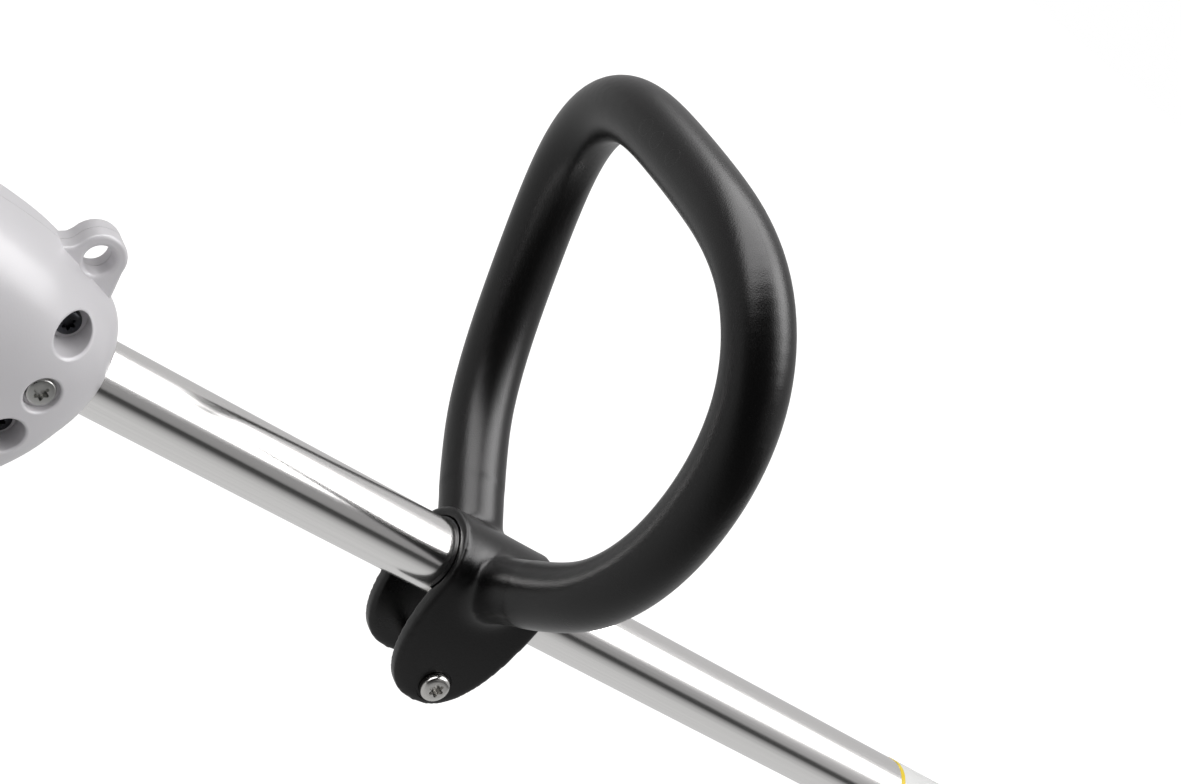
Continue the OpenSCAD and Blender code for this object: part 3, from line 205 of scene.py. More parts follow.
def rounded(bm, edges, size, segments):
    """Rounds edges; the size is in millimetres."""
    bmesh.ops.bevel(bm, geom=edges, offset=size * mm, offset_type="OFFSET", segments=segments, profile=0.5,
                    affect="EDGES", material=-1)


def gathered(whole, part):
    """Adds the bmesh part to the bmesh whole."""
    mesh = bpy.data.meshes.new("part")
    part.to_mesh(mesh)
    part.free()
    whole.from_mesh(mesh)
    bpy.data.meshes.remove(mesh)


def arc(x, z, reach, angles, rise=None):
    """Points round x, z at the angles in degrees; rise is the second radius of an oval."""
    turns = [math.radians(a) for a in angles]
    return [(x + reach * math.cos(a), z + (rise or reach) * math.sin(a)) for a in turns]


def shade_node(tree, kind, sockets=(), **settings):
    """Adds a shader node; each socket is given a value, or another node's output to read."""
    node = tree.nodes.new("ShaderNode" + kind)
    for key, value in settings.items():
        setattr(node, key, value)
    for socket, value in dict(sockets).items():
        if isinstance(value, bpy.types.NodeSocket):
            tree.links.new(value, node.inputs[socket])
        else:
            node.inputs[socket].default_value = value
    return node


def finish(name, colour, tones, roughness, spread, bump, depth):
    """A material, its shader and a call that links its colour, gloss and relief to two patterns."""
    material = bpy.data.materials.new(name)
    material.use_nodes = True
    tree = material.node_tree
    shader = tree.nodes["Principled BSDF"]

    def patterned(broad, fine):
        dark, pale = [(*[min(c * tone, 1) for c in colour], 1) for tone in tones]
        tint = shade_node(tree, "Mix", {0: broad, 6: dark, 7: pale}, data_type="RGBA")
        gloss = shade_node(tree, "MapRange", {"Value": broad, "To Min": roughness - spread,
                                              "To Max": roughness + spread})
        relief = shade_node(tree, "Bump", {"Height": fine, "Strength": bump, "Distance": depth})
        tree.links.new(tint.outputs[2], shader.inputs["Base Color"])
        tree.links.new(gloss.outputs["Result"], shader.inputs["Roughness"])
        tree.links.new(relief.outputs["Normal"], shader.inputs["Normal"])
    return material, shader, patterned


def plastic(name, colour, roughness, grain, bump, grain_size=0.0006, coat=0.0, shade=0.06):
    """Moulded plastic: a fine spark-eroded grain, slight mottling and uneven gloss."""
    material, shader, patterned = finish(name, colour, (1 - shade, 1 + shade), roughness, grain, bump, 0.00012)
    shader.inputs["Coat Weight"].default_value = coat
    shader.inputs["Coat Roughness"].default_value = 0.12
    tree = material.node_tree
    place = shade_node(tree, "TexCoord").outputs["Object"]
    fine = shade_node(tree, "TexNoise", {"Vector": place, "Scale": 1 / grain_size, "Detail": 3})
    broad = shade_node(tree, "TexNoise", {"Vector": place, "Scale": 45, "Detail": 4})
    patterned(broad.outputs["Fac"], fine.outputs["Fac"])
    return material


light_plastic = plastic("housing_light_plastic", (0.69, 0.675, 0.695), 0.32, 0.05, 0.22, coat=0.2, shade=0.015)

body_top, belly, body_half = 37, 62, 34
grip_top, grip_low, grip_half = 32, 7, 17
wall = 2.6
skid_low, skid_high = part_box("base_skids")
base_z = -axis_z / mm + 2.2
dock_low, dock_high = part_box("battery_dock")
block_half = (dock_high[1] - dock_low[1]) / 2 / mm
joint_row = [-300, grip_top + 1, -30, block_half - 9, 3]
spine = [
    [0, 14.2, -14.8, 14.2, 2], [-2.5, 19, -21.5, 19, 2], [-6, 23.4, -27, 23.6, 2.1],
    [-11, 26.4, -36, 27.6, 2.3], [-18, 28.8, -44.5, 30.2, 2.5], [-27, 31.6, -50, 31.5, 2.6],
    [-40, 34.6, -54, 32.3, 2.8], [-62, body_top - 0.6, -belly + 4, body_half - 1, 3],
    [-105, body_top, -belly, body_half, 3.2], [-140, body_top, -belly, body_half - 0.5, 3.2],
    [-160, body_top - 1.5, -belly + 10, body_half - 4, 3],
    [-176, body_top - 3, -belly + 32, body_half - 11, 2.7],
    [-190, grip_top + 1, -grip_low - 5, grip_half + 1.5, 2.5], [-214, grip_top, -grip_low, grip_half, 2.4],
    [-266, grip_top + 1, -grip_low + 1, grip_half + 0.5, 2.4],
    [-286, grip_top + 2, -grip_low - 5, grip_half + 4, 2.6], joint_row]
spine_rows = smooth_rows(spine, 6)
shell_screws = [(-24.3, 18.1, 15.5), (-24, -18, 19), (-72, -46, 14), (-152, -40, 14), (-152, 26, 14),
                (-208, 23, 7), (-276, 2, 8)]
eye_x, eye_z, eye_r, eye_half, eye_bore = -22.3, 35.4, 8.7, 5.75, 4.75
plate_x, plate_z = -22.6, -1.2
trigger_x, lever_x = -196, -252


def skin_y(x, z):
    """Half width of the housing at a place in its side view, in millimetres."""
    rows = sorted(spine_rows, key=lambda row: abs(row[0] - x))[:2]
    (a, b), span = rows, rows[1][0] - rows[0][0]
    t = (x - a[0]) / span if span else 0
    _, top, bottom, half, power = [p + (q - p) * t for p, q in zip(a, b)]
    rise = abs((z - (top + bottom) / 2) / ((top - bottom) / 2))
    return half * max(1 - rise ** power, 0) ** (1 / power)


def sunk_bore(x, z, floor_y, radius, rim):
    """A round bore along Y whose rim is rounded evenly wherever it meets the curved skin."""
    rings = [(radius, None)] + [(radius + rim * (1 - math.cos(t)), rim * (1 - math.sin(t)))
                                for t in (math.radians(a) for a in range(0, 91, 15))] + [(radius + rim + 0.4, -9)]

    def bore_point(i, turn):
        reach, sunk = rings[i]
        px, pz = x + reach * math.cos(turn), z + reach * math.sin(turn)
        return on_tube(px, floor_y if sunk is None else min(-skin_y(px, pz) + sunk, floor_y - 0.3), pz)
    return wrapped(len(rings), 64, bore_point)


def shell_half(side):
    """One shell: the outer form with its half of the eye, hollowed, then cut for what passes through it."""
    outline = arc(eye_x, eye_z, eye_r, range(0, 169, 12)) + [
        (-31.9, 35.2), (-34.5, 33.4), (-38, 31.5), (-40, 26), (-40, 20), (-10.5, 20), (-11.6, 27.8), (-12.6, 31.5)]
    lug, moved = drawn_out([on_tube(x, -eye_half, z) for x, z in outline], (0, 2 * eye_half * mm, 0))
    rounded(lug, [e for e in lug.edges if (e.verts[0] in moved) == (e.verts[1] in moved)], 1.3, 4)
    outer = joined(body_of_rows(spine_rows, 112), [("UNION", closed(lug))])
    bmesh.ops.bisect_plane(outer, geom=outer.verts[:] + outer.edges[:] + outer.faces[:], dist=1e-7,
                           plane_co=(0, -parting_gap * mm, 0), plane_no=(0, 1, 0), clear_outer=True)
    bmesh.ops.holes_fill(outer, edges=[e for e in outer.edges if e.is_boundary], sides=0)
    closed(outer)

    hollow = body_of_rows([[x, top - wall, low + wall, half - wall, power]
                           for x, top, low, half, power in spine_rows[30:]], 40)
    posts = bmesh.new()
    for x, z, seat in shell_screws:
        cylinder_along(posts, on_tube(x, -40, z), on_tube(x, 2, z), 7.6 * mm)
    hollow = joined(hollow, [("DIFFERENCE", posts)])
    seat = bmesh.new()
    cylinder_along(seat, on_tube(-64, 0, 0), on_tube(30, 0, 0), tube_r + 0.05 * mm, 96)
    slots = bmesh.new()
    for i in range(6):
        vent = bmesh.new()
        block(vent, Vector((-1.5, -60, -14)) * mm, Vector((1.5, 60, 14)) * mm)
        rounded(vent, [e for e in vent.edges if abs(e.verts[0].co.y - e.verts[1].co.y) > mm], 1.45, 4)
        bmesh.ops.transform(vent, verts=vent.verts, matrix=Matrix.Translation(on_tube(-88 - i * 8, 0, 6))
                            @ Matrix.Rotation(math.radians(18), 4, "Y"))
        gathered(slots, vent)
    block(slots, on_tube(trigger_x - 53, -6.7, -40), on_tube(trigger_x + 6.5, 6.7, 4))
    block(slots, on_tube(lever_x - 41, -6.2, 20), on_tube(lever_x + 6.5, 6.2, 50))
    eye_hole = bmesh.new()
    turned(eye_hole, [(0, -8), (eye_bore + 1.6, -8), (eye_bore + 1.6, -eye_half),
                      (eye_bore + 0.9, -eye_half + 0.25), (eye_bore + 0.3, -eye_half + 0.8),
                      (eye_bore, -eye_half + 1.6), (eye_bore, 2), (0, 2)], on_tube(eye_x, 0, eye_z), (0, 1, 0))
    tools = [hollow, seat, slots, closed(eye_hole)]
    if side < 0:
        tools += [sunk_bore(x, z, -depth, 6.3 if depth > 10 else 4.9, 1.1) for x, z, depth in shell_screws]
        tools.append(sunk_bore(plate_x, plate_z, -27, 5.8, 1.0))
    shell = cut(outer, *tools)
    if side > 0:
        bmesh.ops.scale(shell, vec=(1, -1, 1), verts=shell.verts)
        bmesh.ops.reverse_faces(shell, faces=shell.faces)
    return shell


for side, name in ((-1, "housing_left"), (1, "housing_right")):
    put(shell_half(side), name + "_shell", "frame", light_plastic, (name,), sharp=32)

# Battery dock. A thick-walled block behind the grip with an open bay for the pack.
# It is moulded in the same light grey plastic and stands on two rubber skids.
bay_front, bay_gap, pack_h, pack_len, pack_half = -330, 0.5, 86, 106, 33.4
bay_floor = base_z + 3.3
bay_roof = bay_floor + pack_h + 2 * bay_gap
bay_half = pack_half + bay_gap
block_rear = bay_front - pack_len - 1
dock = [joint_row, [-305, grip_top, -72, block_half - 5, 3.2], [-312, grip_top - 2, base_z + 8, block_half - 2, 4],
        [-322, grip_top - 4, base_z, block_half, 5], [bay_front - 40, 14, base_z, block_half, 5],
        [block_rear + 4, bay_roof + 12, base_z, block_half, 5],
        [block_rear, bay_roof + 9, base_z + 1, block_half - 1, 5]]


def straight_rows(rows, steps):
    """More rows of numbers between the given ones, in straight lines."""
    out = []
    for a, b in zip(rows, rows[1:]):
        out += [[p + (q - p) * s / steps for p, q in zip(a, b)] for s in range(steps)]
    return out + [list(rows[-1])]


bay = body_of_rows([[bay_front, bay_roof, bay_floor, bay_half, 5],
                    [block_rear - 5, bay_roof, bay_floor, bay_half, 5]], 96)
openings = bmesh.new()
block(openings, on_tube(bay_front - 2, -23, bay_roof - 35), on_tube(bay_front + 6, 23, bay_roof - 7))
for side in (-1, 1):
    block(openings, Vector((skid_low[0], side * 17 * mm, -10 * mm)),
          Vector((skid_high[0], side * 26 * mm, 3.6 * mm)))
notch = bmesh.new()
block(notch, on_tube(block_rear - 10, -13, bay_roof - 6), on_tube(block_rear + 16, 13, bay_roof + 6))
put(cut(body_of_rows(straight_rows(dock, 4), 96), bay, openings, notch), "battery_dock_shell", "frame",
    light_plastic, ("battery_dock",), sharp=32)

# Tube. A straight drawn aluminium tube with a 1.6 mm wall and a bright polished surface.
# It carries fine drawing lines along its length.
def metal(name, colour, roughness, spread, stretch, bump=0.1):
    """Bare metal with fine marks stretched by the three factors, in marks per metre."""
    material, shader, patterned = finish(name, colour, (0.9, 1.06), roughness, spread, bump, 0.00004)
    shader.inputs["Metallic"].default_value = 1
    tree = material.node_tree
    place = shade_node(tree, "TexCoord").outputs["Object"]
    mapping = shade_node(tree, "Mapping", {"Vector": place, "Location": (0, 0, -axis_z)}, vector_type="POINT")
    scale = shade_node(tree, "VectorMath", {0: mapping.outputs["Vector"], 1: stretch}, operation="MULTIPLY")
    marks = shade_node(tree, "TexNoise", {"Vector": scale.outputs["Vector"], "Scale": 1, "Detail": 4})
    patterned(marks.outputs["Fac"], marks.outputs["Fac"])
    return material


polished_tube = metal("polished_tube", (0.86, 0.85, 0.84), 0.17, 0.05, (5, 1500, 1500), bump=0.06)
tube_front = (tube_high[0] - nose_x) / mm
tube_bm = bmesh.new()
turned(tube_bm, [(12.7, 0), (12.7, tube_front + 56), (11.1, tube_front + 56), (11.1, 0), (12.7, 0)],
       on_tube(-56, 0, 0), (1, 0, 0), 128)
put(closed(tube_bm), "tube", "frame", polished_tube, ("drive_tube",))

# Tube label. A bare white film wrapped round the tube, with a yellow band at its rear edge.
label_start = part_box("tube_label")[0][0]
label_film = plastic("label_film", (0.86, 0.86, 0.85), 0.25, 0.03, 0.05, shade=0.01)
tree = label_film.node_tree
base = tree.nodes["Principled BSDF"].inputs["Base Color"]
apart = shade_node(tree, "SeparateXYZ", {"Vector": shade_node(tree, "TexCoord").outputs["Object"]})
edge = shade_node(tree, "Math", {0: apart.outputs["X"], 1: label_start + 2.3 * mm}, operation="LESS_THAN")
band = shade_node(tree, "Mix", {0: edge.outputs["Value"], 6: base.links[0].from_socket,
                                7: (0.9, 0.66, 0.02, 1)}, data_type="RGBA")
tree.links.new(band.outputs[2], base)
label_bm = bmesh.new()
turned(label_bm, [(12.71, 0), (12.85, 0.05), (12.85, 95.95), (12.71, 96), (12.71, 0)],
       Vector((label_start, 0, axis_z)), (1, 0, 0), 128)
put(closed(label_bm), "label", "frame", label_film, ("tube_label",))

# Loop handle. One piece of black glass-filled nylon: a round bar bent into a loop, which runs into
# a sleeve on the tube with two ears below it. A fine seam runs along the loop where the mould parts.
black_plastic = plastic("black_plastic", (0.007, 0.007, 0.0073), 0.38, 0.05, 0.5, grain_size=0.00055, shade=0.12)
handle_plastic = plastic("handle_plastic", (0.0035, 0.0033, 0.0034), 0.29, 0.05, 0.5, grain_size=0.0005,
                         shade=0.12)
loop_guides = [(0, 73.6), (15, 75.8), (30, 82.0), (45, 88.6), (60, 89.3), (75, 84.3), (90, 79.2), (105, 76.4),
               (120, 75.4), (135, 75.3), (150, 75.7), (162, 78.3)]
handle_x, loop_bar_r, loop_mid, loop_foot, loop_lean, loop_top = 148, 11.7, 86, 20.4, 43.9, 159.7
sleeve_len, sleeve_r, ear_t, ear_depth, sleeve_bore = 45.3, 17.6, 5.7, 44.5, 13.6
clamp_x, clamp_z = 25.5, -35.9


def lean(z):
    """How far ahead of the sleeve's rear rim the loop's centre line stands at a height."""
    return loop_foot - loop_lean * (z / loop_top) ** 2


def loop_line():
    """Points along the loop's centre line, from foot to foot."""
    guides = [[-a, r] for a, r in loop_guides[:0:-1]] + [list(g) for g in loop_guides]
    line = []
    for angle, reach in smooth_rows(guides, 6):
        z = loop_mid + reach * math.cos(math.radians(angle))
        line.append((lean(z), reach * math.sin(math.radians(angle)), z))
    line = [Vector(p) for p in [(21, -10, 2)] + line + [(21, 10, 2)]]
    for step in range(200):
        pull = 0.5 if step % 2 == 0 else -0.52
        eased = [p + pull * ((q + r) / 2 - p) for q, p, r in zip(line, line[1:], line[2:])]
        line = [line[0]] + eased + [line[-1]]
    return line


def bar_along(line, radius, around):
    """A round closed bar along a line of points."""
    line = [on_tube(handle_x + x, y, z) for x, y, z in line]

    def bar_point(i, turn):
        along = (line[min(i + 1, len(line) - 1)] - line[max(i - 1, 0)]).normalized()
        first = along.cross(Vector((1, 0, 0))).normalized()
        second = first.cross(along).normalized()
        return line[i] + radius * mm * (math.cos(turn) * first + math.sin(turn) * second)
    return wrapped(len(line), around, bar_point)


def leaf_points(half, low, power, first, last):
    """The side view of the sleeve and its ears, as points in millimetres."""
    turns = [math.radians(a) for a in range(first, last + 1, 6)]
    return [(half + half * bent(math.cos(a), power), low * bent(math.sin(a), power)) for a in turns]


def smoothed(bm, verts, rounds):
    """Evens out a mesh between its points."""
    for _ in range(rounds):
        bmesh.ops.smooth_vert(bm, verts=verts, factor=0.5, use_axis_x=True, use_axis_y=True, use_axis_z=True)


def remeshed(bm, size):
    """The same form as an even mesh of small faces, with its inside corners closed up."""
    thing = as_object(bm)
    change = thing.modifiers.new("even", "REMESH")
    change.mode = "VOXEL"
    change.voxel_size = size
    return baked(thing)


half_sleeve, sleeve_end = sleeve_len / 2, handle_x + sleeve_len
outline = leaf_points(half_sleeve, sleeve_r + 0.5, 12, 0, 180) + leaf_points(half_sleeve, ear_depth, 2.4, 186, 354)
leaf = closed(drawn_out([on_tube(handle_x + x, -30, z) for x, z in outline], (0, 60 * mm, 0))[0])
barrel, ears, bore, gap = bmesh.new(), bmesh.new(), bmesh.new(), bmesh.new()
cylinder_along(barrel, on_tube(handle_x - 1, 0, 0), on_tube(sleeve_end + 1, 0, 0), sleeve_r * mm, 96)
block(ears, on_tube(handle_x - 1, -sleeve_r, -ear_depth - 5), on_tube(sleeve_end + 1, sleeve_r, 0))
cylinder_along(bore, on_tube(handle_x - 2, 0, 0), on_tube(sleeve_end + 2, 0, 0), (sleeve_bore + 0.1) * mm, 96)
block(gap, on_tube(handle_x - 2, ear_t - sleeve_r, -ear_depth - 6), on_tube(sleeve_end + 2, sleeve_r - ear_t, 0))
clamp = joined(joined(barrel, [("UNION", ears)]), [("INTERSECT", leaf)])
handle = joined(clamp, [("UNION", bar_along(loop_line(), loop_bar_r, 40)), ("DIFFERENCE", bore),
                        ("DIFFERENCE", gap)])
handle = remeshed(handle, 0.9 * mm)
root = []
for v in handle.verts:
    out_y = abs(v.co.y) / mm
    rise = (v.co.z - axis_z) / mm
    reach_out = math.hypot(out_y, rise)
    along = (v.co.x - nose_x) / mm - handle_x
    if 16.2 < reach_out < 36 and rise > -16 and 3.5 < along < sleeve_len - 3.5:
        root.append(v)
smoothed(handle, root, 28)
smoothed(handle, handle.verts, 3)
cross, seat, nut_pocket = bmesh.new(), bmesh.new(), bmesh.new()
clamp_at = handle_x + clamp_x
cylinder_along(cross, on_tube(clamp_at, -30, clamp_z), on_tube(clamp_at, 30, clamp_z), 3.15 * mm)
turned(seat, [(0, -sleeve_r + 0.35), (6.2, -sleeve_r + 0.35), (6.5, -sleeve_r - 0.2), (6.9, -sleeve_r - 2),
              (0, -sleeve_r - 2)], on_tube(clamp_at, 0, clamp_z), (0, 1, 0))
cylinder_along(nut_pocket, on_tube(clamp_at, sleeve_r - 3.6, clamp_z), on_tube(clamp_at, 30, clamp_z), 5.95 * mm, 6)
handle = cut(handle, cross, closed(seat), nut_pocket)


def worked(tree, operation, *values):
    """The result of one sum in a material; each value is a number or a node's output."""
    return shade_node(tree, "Math", enumerate(values), operation=operation).outputs["Value"]


def add_marks(material, middle_x, circles):
    """Adds the mould's parting seam and the rings of its ejector pins to a plastic's relief."""
    tree = material.node_tree
    place = shade_node(tree, "TexCoord").outputs["Object"]
    apart = shade_node(tree, "SeparateXYZ", {"Vector": place})
    rise = worked(tree, "DIVIDE", worked(tree, "SUBTRACT", apart.outputs["Z"], axis_z), loop_top * mm)
    back = worked(tree, "MULTIPLY", worked(tree, "MULTIPLY", rise, rise), loop_lean * mm)
    off = worked(tree, "ADD", worked(tree, "SUBTRACT", apart.outputs["X"], middle_x + loop_foot * mm), back)
    total = worked(tree, "MULTIPLY", worked(tree, "COMPARE", off, 0.0, 0.00016), -0.7)
    total = worked(tree, "MULTIPLY", total, worked(tree, "GREATER_THAN", apart.outputs["Z"], axis_z + 26 * mm))
    for centre, radius in circles:
        far = shade_node(tree, "VectorMath", {0: place, 1: centre}, operation="DISTANCE")
        total = worked(tree, "SUBTRACT", total, worked(tree, "COMPARE", far.outputs["Value"], radius * mm, 0.00014))
    lines = shade_node(tree, "Bump", {"Strength": 0.6, "Distance": 0.0003, "Height": total,
                                      "Normal": tree.nodes["Bump"].outputs["Normal"]})
    tree.links.new(lines.outputs["Normal"], tree.nodes["Principled BSDF"].inputs["Normal"])


ejector_marks = [(on_tube(handle_x + x, y, z), radius) for x, y, z, radius in (
    (-33.8, 16.3, 159.5, 3.2), (-34.2, 7.3, 159.6, 3.2), (-34.2, -5.8, 160, 3.2), (7.9, -50.5, 31.4, 2.8),
    (8.5, 47.5, 31.9, 1.6), (0.3, -13.9, -10, 1.8))]
handle_plastic.node_tree.nodes["Principled BSDF"].inputs["Specular IOR Level"].default_value = 0.38
add_marks(handle_plastic, nose_x + handle_x * mm, ejector_marks)
put(handle, "loop", "loop", handle_plastic, ("loop_handle",), sharp=50)

# Clamp screw and the housing's screws. Pan heads with a six-lobed recess; the clamp screw is bright
# stainless steel, the plate screw of the nose is zinc plated, and the sunk shell screws are black.
stainless = metal("stainless", (0.62, 0.61, 0.59), 0.24, 0.06, (600, 600, 600))
zinc = metal("zinc_plate", (0.6, 0.6, 0.58), 0.3, 0.08, (500, 500, 500))
black_oxide = metal("black_oxide", (0.06, 0.062, 0.068), 0.36, 0.08, (500, 500, 500))


def lobed_screw(seat, profile, length, shank_r, recess_r, recess_depth, top):
    """A screw along +Y: a turned head and shank with a six-lobed recess in the head's face."""
    bm = bmesh.new()
    turned(bm, [(0, -top)] + [(r, -h) for r, h in profile] + [(shank_r, 0), (shank_r, length), (0, length)],
           seat, (0, 1, 0), 64)
    points = []
    for k in range(72):
        a = 2 * math.pi * k / 72
        r = recess_r * (0.82 + 0.18 * math.cos(6 * a)) * mm
        points.append(seat + Vector((r * math.cos(a), -(top + 1) * mm, r * math.sin(a))))
    return cut(closed(bm), closed(drawn_out(points, (0, (recess_depth + 1) * mm, 0))[0]))


put(lobed_screw(on_tube(clamp_at, -sleeve_r, clamp_z),
                [(3.6, 2.7), (4.5, 2.55), (5.05, 2.2), (5.35, 1.6), (5.4, 0.9), (5.4, 0)],
                2 * sleeve_r, 2.85, 3.0, 2.3, 2.7),
    "clamp_screw_lobed", "loop", stainless, ("clamp_screw",), sharp=40)
put(lobed_screw(on_tube(plate_x, -27, plate_z), [(3.9, 1.9), (4.35, 1.75), (4.6, 1.4), (4.7, 0.9), (4.7, 0)], 16.8,
                2.2, 2.7, 1.8, 1.9), "plate_screw", "frame", zinc, ("tube_screw",), sharp=40)
screws = bmesh.new()
for x, z, depth in shell_screws:
    gathered(screws, lobed_screw(
        on_tube(x, -depth, z), [(2.6, 3), (3.6, 2.75), (4.1, 2.3), (4.3, 1.6), (4.3, 0)],
        depth + (14 if depth > 10 else 8) - 0.2, 1.9, 2.3, 1.6, 3))
put(screws, "shell_screws_lobed", "frame", black_oxide, ("shell_screws",), sharp=40)

# Hand guard. A black bow under the hand, from the belly of the housing back to the dock.
bow_end = base_z + 8.5 + 3
bow = [[-124, -50], [-140, -57], [-160, -65], [-190, -76], [-225, bow_end + 8], [-262, bow_end + 3],
       [-300, bow_end + 0.5], [-316, bow_end]]


def bow_bar(points, half_width, depth, power, around):
    """A closed bar of superellipse section along points in the side view."""
    def bow_point(i, turn):
        (ax, az), (bx, bz) = points[max(i - 1, 0)], points[min(i + 1, len(points) - 1)]
        length = math.hypot(bx - ax, bz - az)
        tx, tz = (bx - ax) / length, (bz - az) / length
        up = depth / 2 * bent(math.sin(turn), power)
        return on_tube(points[i][0] - tz * up, half_width * bent(math.cos(turn), power), points[i][1] + tx * up)
    return wrapped(len(points), around, bow_point)


put(bow_bar(smooth_rows(bow, 6), 12, 17, 2.6, 40), "guard_bow", "frame", black_plastic,
    ("hand_guard",), sharp=60)

# Grip controls. A black trigger under the grip and a lock-out lever on top of it, on steel pins.
grey_plastic = plastic("grey_plastic", (0.16, 0.16, 0.165), 0.45, 0.05, 0.3)
trigger_z, lever_z = -1, 24
trigger_outline = [(0, 4.2), (3.2, 2), (4.2, -6), (3, -14)]
trigger_outline += arc(-5, -20, 7, range(-20, -101, -8))
trigger_outline += [(-14, -24.2), (-24, -20.8), (-34, -18.2), (-42, -14.5), (-46, -9), (-47, -3), (-40, 2)]
lever_outline = [(0, -4.5), (4.5, 0), (5, 6)]
lever_outline += arc(-17, 3, 22, range(30, 151, 8), 11)
lever_outline += [(-38, 5.5), (-37, 1), (-20, -2)]


def plate_piece(outline, x, z, half_width, round_edge):
    """A moulded piece drawn in side view, with its long edges rounded."""
    bm = closed(drawn_out([on_tube(x + a, -half_width, z + b) for a, b in outline], (0, 2 * half_width * mm, 0))[0])
    rounded(bm, [e for e in bm.edges if abs(e.verts[0].co.y - e.verts[1].co.y) < 1e-7], round_edge, 3)
    return closed(bm)


for name, body, outline, x, z, half in (("trigger", "trigger", trigger_outline, trigger_x, trigger_z, 6),
                                        ("lockout_lever", "lockout", lever_outline, lever_x, lever_z, 5.5)):
    hole = bmesh.new()
    cylinder_along(hole, on_tube(x, -20, z), on_tube(x, 20, z), 2.05 * mm, 32)
    put(cut(plate_piece(outline, x, z, half, 1.2), hole), name + "_moulded", body, black_plastic,
        (name,), sharp=40)

# Battery pack. A black two-part case that slides into the dock, with grip ribs on its rear end
# and a latch button at the top.
pack_front = bay_front - 1.5
pack_rear = pack_front - pack_len - 3
pack_top, pack_low = bay_roof - bay_gap, bay_floor + bay_gap
pack_rows = [
    [pack_front, pack_top - 1.5, pack_low + 1.5, pack_half - 1.5, 5],
    [pack_front - 2, pack_top, pack_low, pack_half, 5], [pack_rear + 7, pack_top, pack_low, pack_half, 5],
    [pack_rear + 2, pack_top - 3, pack_low + 3, pack_half - 3, 4.4],
    [pack_rear, pack_top - 8, pack_low + 8, pack_half - 8, 4]]
inner_rows = [[x, top - 2.4, low + 2.4, half - 2.4, power] for x, top, low, half, power in pack_rows[1:4]]
pocket = bmesh.new()
latch_x = block_rear + 6
block(pocket, on_tube(pack_rear - 5, -11.5, bay_roof - 14), on_tube(latch_x + 8, 11.5, bay_roof + 5))
contact_slots = bmesh.new()
for y in (-15, -5, 5, 15):
    block(contact_slots, on_tube(pack_front - 24, y - 1.2, bay_roof - 30),
          on_tube(pack_front + 5, y + 1.2, bay_roof - 12))
grooves = bmesh.new()
for i in range(6):
    z = bay_floor + 14 + i * 7
    cylinder_along(grooves, on_tube(pack_rear - 0.6, -22, z), on_tube(pack_rear - 0.6, 22, z), 1.6 * mm, 24)
pack = cut(body_of_rows(straight_rows(pack_rows, 1), 96), body_of_rows(inner_rows, 64), pocket, contact_slots,
           grooves)
put(pack, "battery_shell", "battery", black_plastic, ("battery_case",), sharp=35)

# Carried-over parts. The working parts keep the form they are machined to and get their own finish:
# ground steel for shafts, gears and bearings, zinc for small screws, nylon, rubber, board and line.
ground_steel = metal("ground_steel", (0.5, 0.5, 0.51), 0.28, 0.08, (400, 400, 400))
cast_alloy = metal("cast_alloy", (0.55, 0.53, 0.5), 0.45, 0.1, (900, 900, 900), bump=0.3)
rubber = plastic("rubber", (0.03, 0.03, 0.03), 0.75, 0.05, 0.4)
natural_nylon = plastic("natural_nylon", (0.72, 0.69, 0.6), 0.45, 0.05, 0.2)
board_green = plastic("board_green", (0.02, 0.16, 0.07), 0.35, 0.05, 0.1)
cell_wrap = plastic("cell_wrap", (0.04, 0.3, 0.36), 0.3, 0.04, 0.05)
line_nylon = plastic("line_nylon", (0.8, 0.26, 0.03), 0.3, 0.05, 0.15)
finish_of = {
    ground_steel: ("drive_shaft", "shaft_coupling", "motor_rotor", "pinion", "pinion_bearing", "driven_gear",
                   "spindle", "spindle_bearings", "motor_bearings", "trigger_pin", "lockout_pin",
                   "thrust_washer", "line_cutter"),
    cast_alloy: ("motor_end_caps", "motor_stator"),
    zinc: ("clamp_nut", "cover_screws", "socket_screw", "deflector_screws", "cutter_screws", "line_eyelets",
           "trigger_spring", "lockout_spring", "latch_spring", "feed_spring"),
    black_plastic: ("motor_fan", "handle_liner"), grey_plastic: ("terminal_block", "trigger_switch", "spool"),
    natural_nylon: ("shaft_bushes",), board_green: ("control_board",), cell_wrap: ("battery_cells",),
    line_nylon: ("line_winding",)}
for material, names in finish_of.items():
    for name in names:
        mesh = nodes[name].data
        if mesh.materials:
            for slot in nodes[name].material_slots:
                slot.material = material
        else:
            mesh.materials.append(material)

# Gear head. A black cast housing clamped on the tube's front end, with a round barrel, a mounting
# flange and screw bosses, closed by a domed cover; edges and inside corners are rounded as cast.
apex_x, head_tilt = 1084.73, 28
socket_rear, socket_len, socket_out = 1012, 34, tube_r / mm + 3.8
barrel_r, barrel_low, cover_low, cover_rim = 19, -23, 20.47, 31.47
head_place = Matrix.Translation(on_tube(apex_x, 0, 0)) @ Matrix.Rotation(math.radians(-head_tilt), 4, "Y")
to_head = head_place.to_quaternion()
head_axis = to_head @ Vector((0, 0, 1))


def at_head(x, y, z):
    """A point given in millimetres from the gear head's centre, along its own tilted axes."""
    return head_place @ Vector((x * mm, y * mm, z * mm))


def disc(bm, low, high, radius, x=0, y=0, around=64):
    """Adds a round bar along the head's axis."""
    cylinder_along(bm, at_head(x, y, low), at_head(x, y, high), radius * mm, around)


def softened(bm, size, rounds):
    """An even mesh of the form with its edges and corners rounded off."""
    out = remeshed(bm, size)
    smoothed(out, out.verts, rounds)
    return out


def as_one(parts):
    """Closed forms joined together."""
    return joined(parts[0], [("UNION", part) for part in parts[1:]])


def made(*calls):
    """A bmesh filled by each call in turn."""
    bm = bmesh.new()
    for call in calls:
        call(bm)
    return bm


